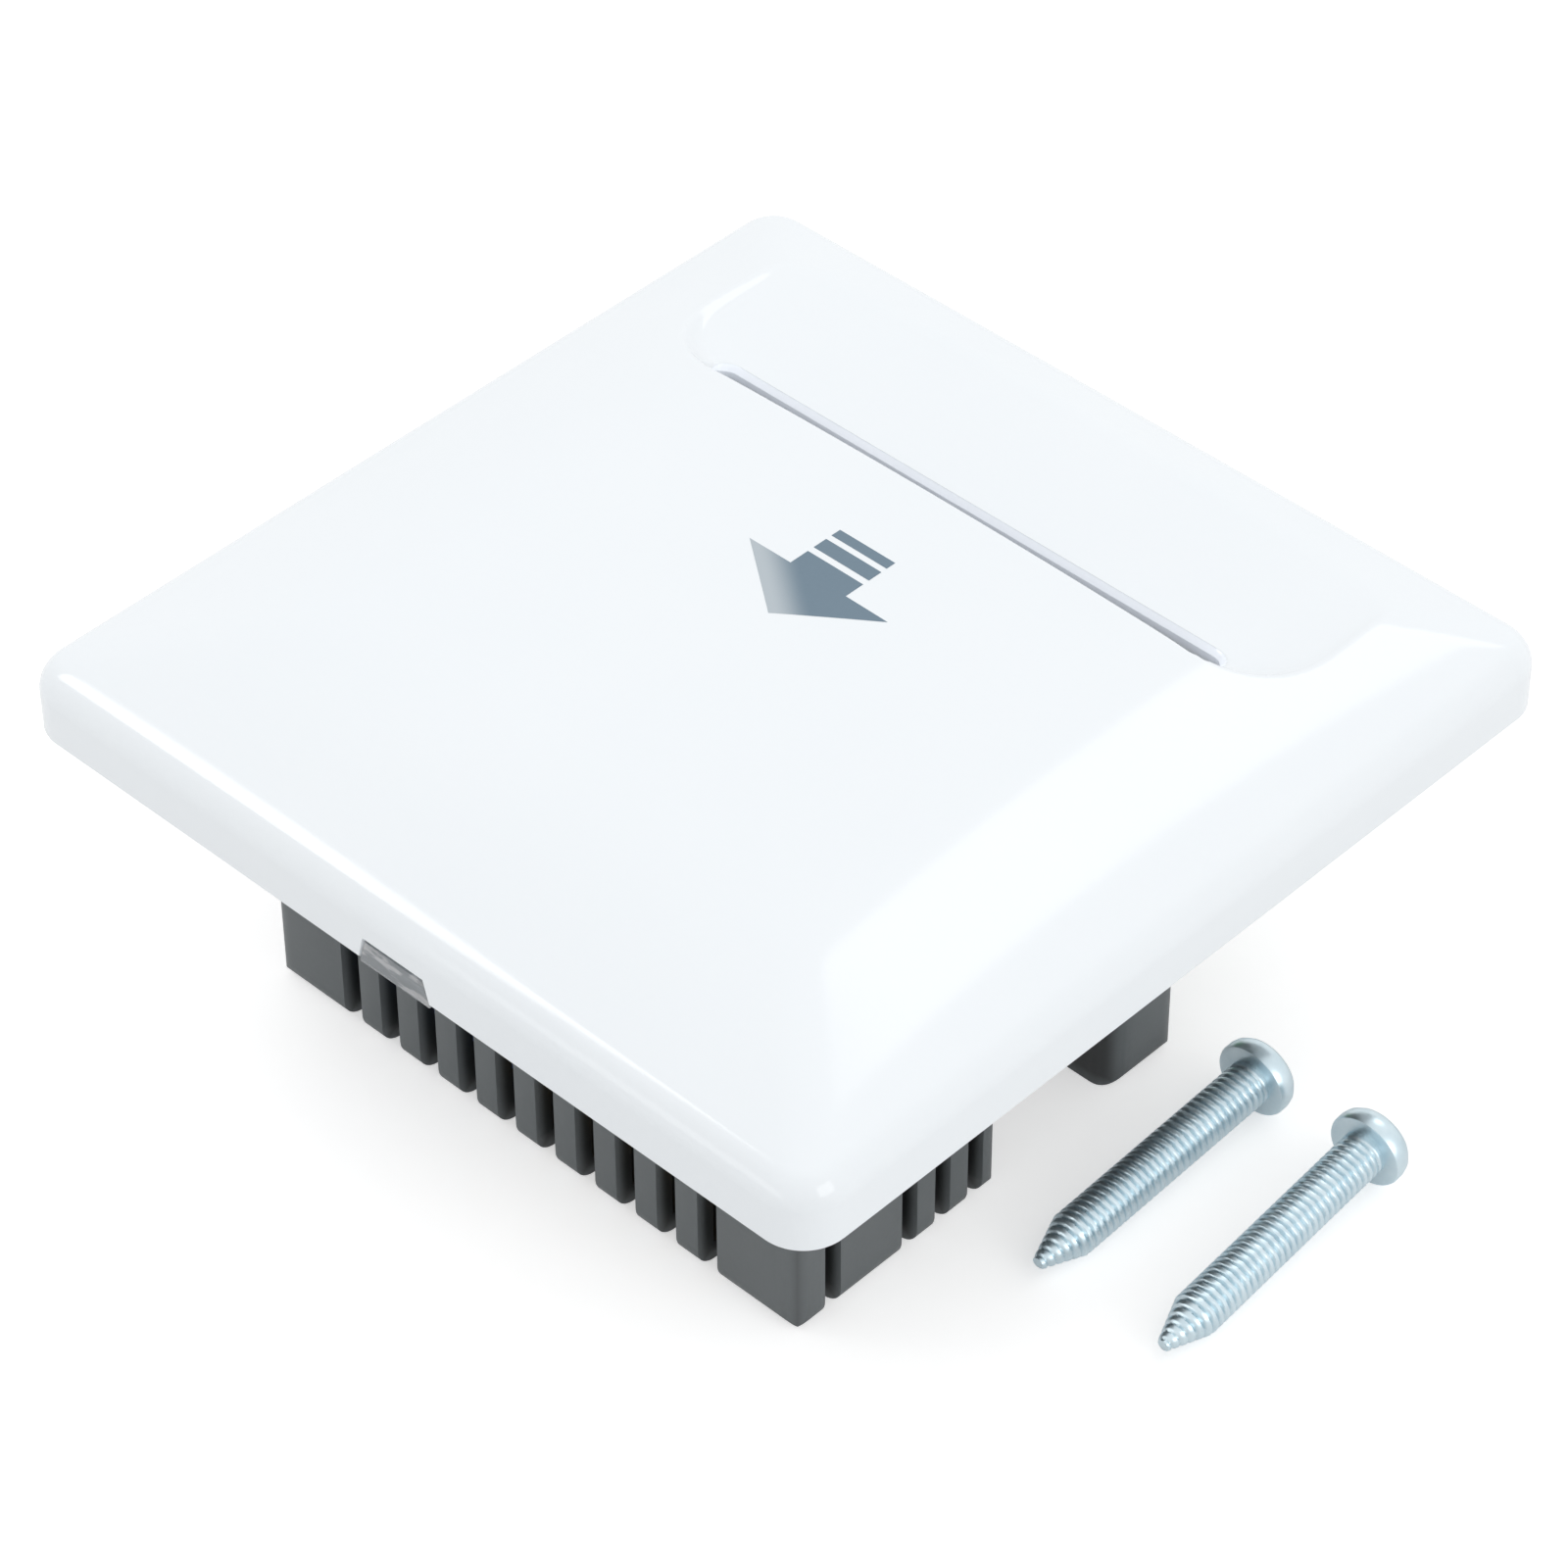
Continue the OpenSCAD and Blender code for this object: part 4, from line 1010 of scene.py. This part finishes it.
# The arrow ink's third colour is a painted reflection on its left wing.
ARROW_INK = printed_ink("arrow_ink", (101, 123, 139), (113, 135, 151), (182, 192, 199), (0.2, 0.3))
HOUSING_GREY = housing_plastic("housing_grey", (96, 101, 103), (108, 113, 115), (0.42, 0.55))
# The window's third colour is pale glints painted on its streaks.
WINDOW_CLEAR = window_plastic("window_clear", (198, 204, 208), (172, 178, 183), (252, 253, 255),
                              (0.1, 0.25), through=0.6)
SCREW_ZINC = metal("screw_zinc", (230, 243, 248), (190, 211, 221), (0.25, 0.43), strength=0.3)

build_cover(GLOSS_WHITE)
build_arrow(ARROW_INK)
build_screws(SCREW_ZINC)

LOOKS = {
    "mounting_frame": plastic("frame_white", (232, 234, 235), (222, 225, 227), (0.35, 0.5),
                              grain=2400.0, relief=0.02),
    "light_pipe": WINDOW_CLEAR,
    "card_tray": plastic("tray_grey", (206, 209, 212), (196, 199, 202), (0.35, 0.5),
                         grain=2400.0, relief=0.02),
    "card_springs": metal("spring_bronze", (196, 150, 96), (164, 120, 74), (0.25, 0.4)),
    "card_lever": plastic("lever_grey", (128, 132, 134), (112, 116, 118), (0.35, 0.5)),
    "lever_pin": metal("pin_steel", (190, 194, 198), (160, 164, 168), (0.2, 0.35)),
    "tray_screws": metal("tray_screw_steel", (205, 210, 214), (176, 182, 188), (0.22, 0.4)),
    "rear_housing": HOUSING_GREY,
    "housing_screws": metal("housing_screw_steel", (190, 194, 196), (150, 155, 158), (0.25, 0.45)),
    "circuit_board": plastic("board_green", (38, 96, 62), (30, 78, 50), (0.25, 0.45),
                             grain=900.0, relief=0.03),
    "board_screws": metal("board_screw_steel", (205, 210, 214), (176, 182, 188), (0.22, 0.4)),
    "switch_case": plastic("switch_black", (40, 41, 43), (52, 53, 55), (0.4, 0.55)),
    "switch_plunger": plastic("plunger_red", (178, 44, 38), (156, 36, 32), (0.3, 0.45)),
    "relay": plastic("relay_blue", (40, 84, 150), (34, 70, 128), (0.25, 0.4)),
    "film_capacitor": plastic("film_yellow", (214, 170, 62), (196, 150, 50), (0.3, 0.45)),
    "smoothing_capacitor": plastic("can_sleeve", (36, 38, 46), (50, 52, 60), (0.2, 0.35)),
    "varistor": plastic("varistor_blue", (44, 92, 140), (36, 76, 120), (0.3, 0.5),
                        grain=1200.0, relief=0.05),
    "fuse_tube": clear_plastic("fuse_glass", (236, 240, 240), (222, 228, 228), (0.03, 0.08), through=0.9),
    "fuse_caps": metal("cap_nickel", (206, 204, 196), (176, 174, 166), (0.18, 0.32)),
    "delay_chip": plastic("chip_black", (34, 34, 36), (44, 44, 46), (0.45, 0.6)),
    "resistors": plastic("resistor_tan", (206, 180, 138), (188, 160, 118), (0.35, 0.5)),
    "indicator_lamp": clear_plastic("lamp_green", (120, 196, 130), (96, 170, 108), (0.1, 0.2), through=0.5),
    "terminal_block": plastic("terminal_green", (58, 132, 84), (48, 112, 72), (0.35, 0.5)),
    "terminal_clamps": metal("clamp_brass", (206, 176, 104), (176, 146, 80), (0.25, 0.4)),
    "terminal_screws": metal("terminal_screw_steel", (205, 208, 210), (170, 175, 178), (0.22, 0.4)),
}
# Width of the eased edges in millimetres, and the name of the piece's material, which the loop does not read
EASED = {"rear_housing": (0.4, "housing_grey"), "mounting_frame": (0.2, "frame_white"),
         "light_pipe": (0.15, "window_clear")}
for name, material in LOOKS.items():
    if name in EASED:
        width, slot_name = EASED[name]
        piece = eased_copy(name, material, width, "base")
    else:
        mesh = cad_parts[name].data
        mesh.materials.clear()
        mesh.materials.append(material)

camera = build_camera()
table = build_floor()
build_world()
back = softbox("back_softbox", place=(-0.115, 0.78, 1.0), across=(1, 0, 0),
               wide=0.43, tall=0.45, power=0.95)
left = softbox("left_softbox", place=(-0.616, -0.392, 0.693), across=(1, -0.35, 0),
               wide=0.3, tall=0.39, power=1.35)
right = softbox("right_softbox", place=(0.98, 0.02, 0.38), across=(0, 1, 0),
                wide=0.55, tall=0.5, power=1.7)
front = softbox("front_softbox", place=(-0.25, -0.95, 0.13), across=(1, 0, 0),
                wide=0.6, tall=0.25, power=0.45)

scene = bpy.context.scene
scene.view_settings.view_transform = "Standard"
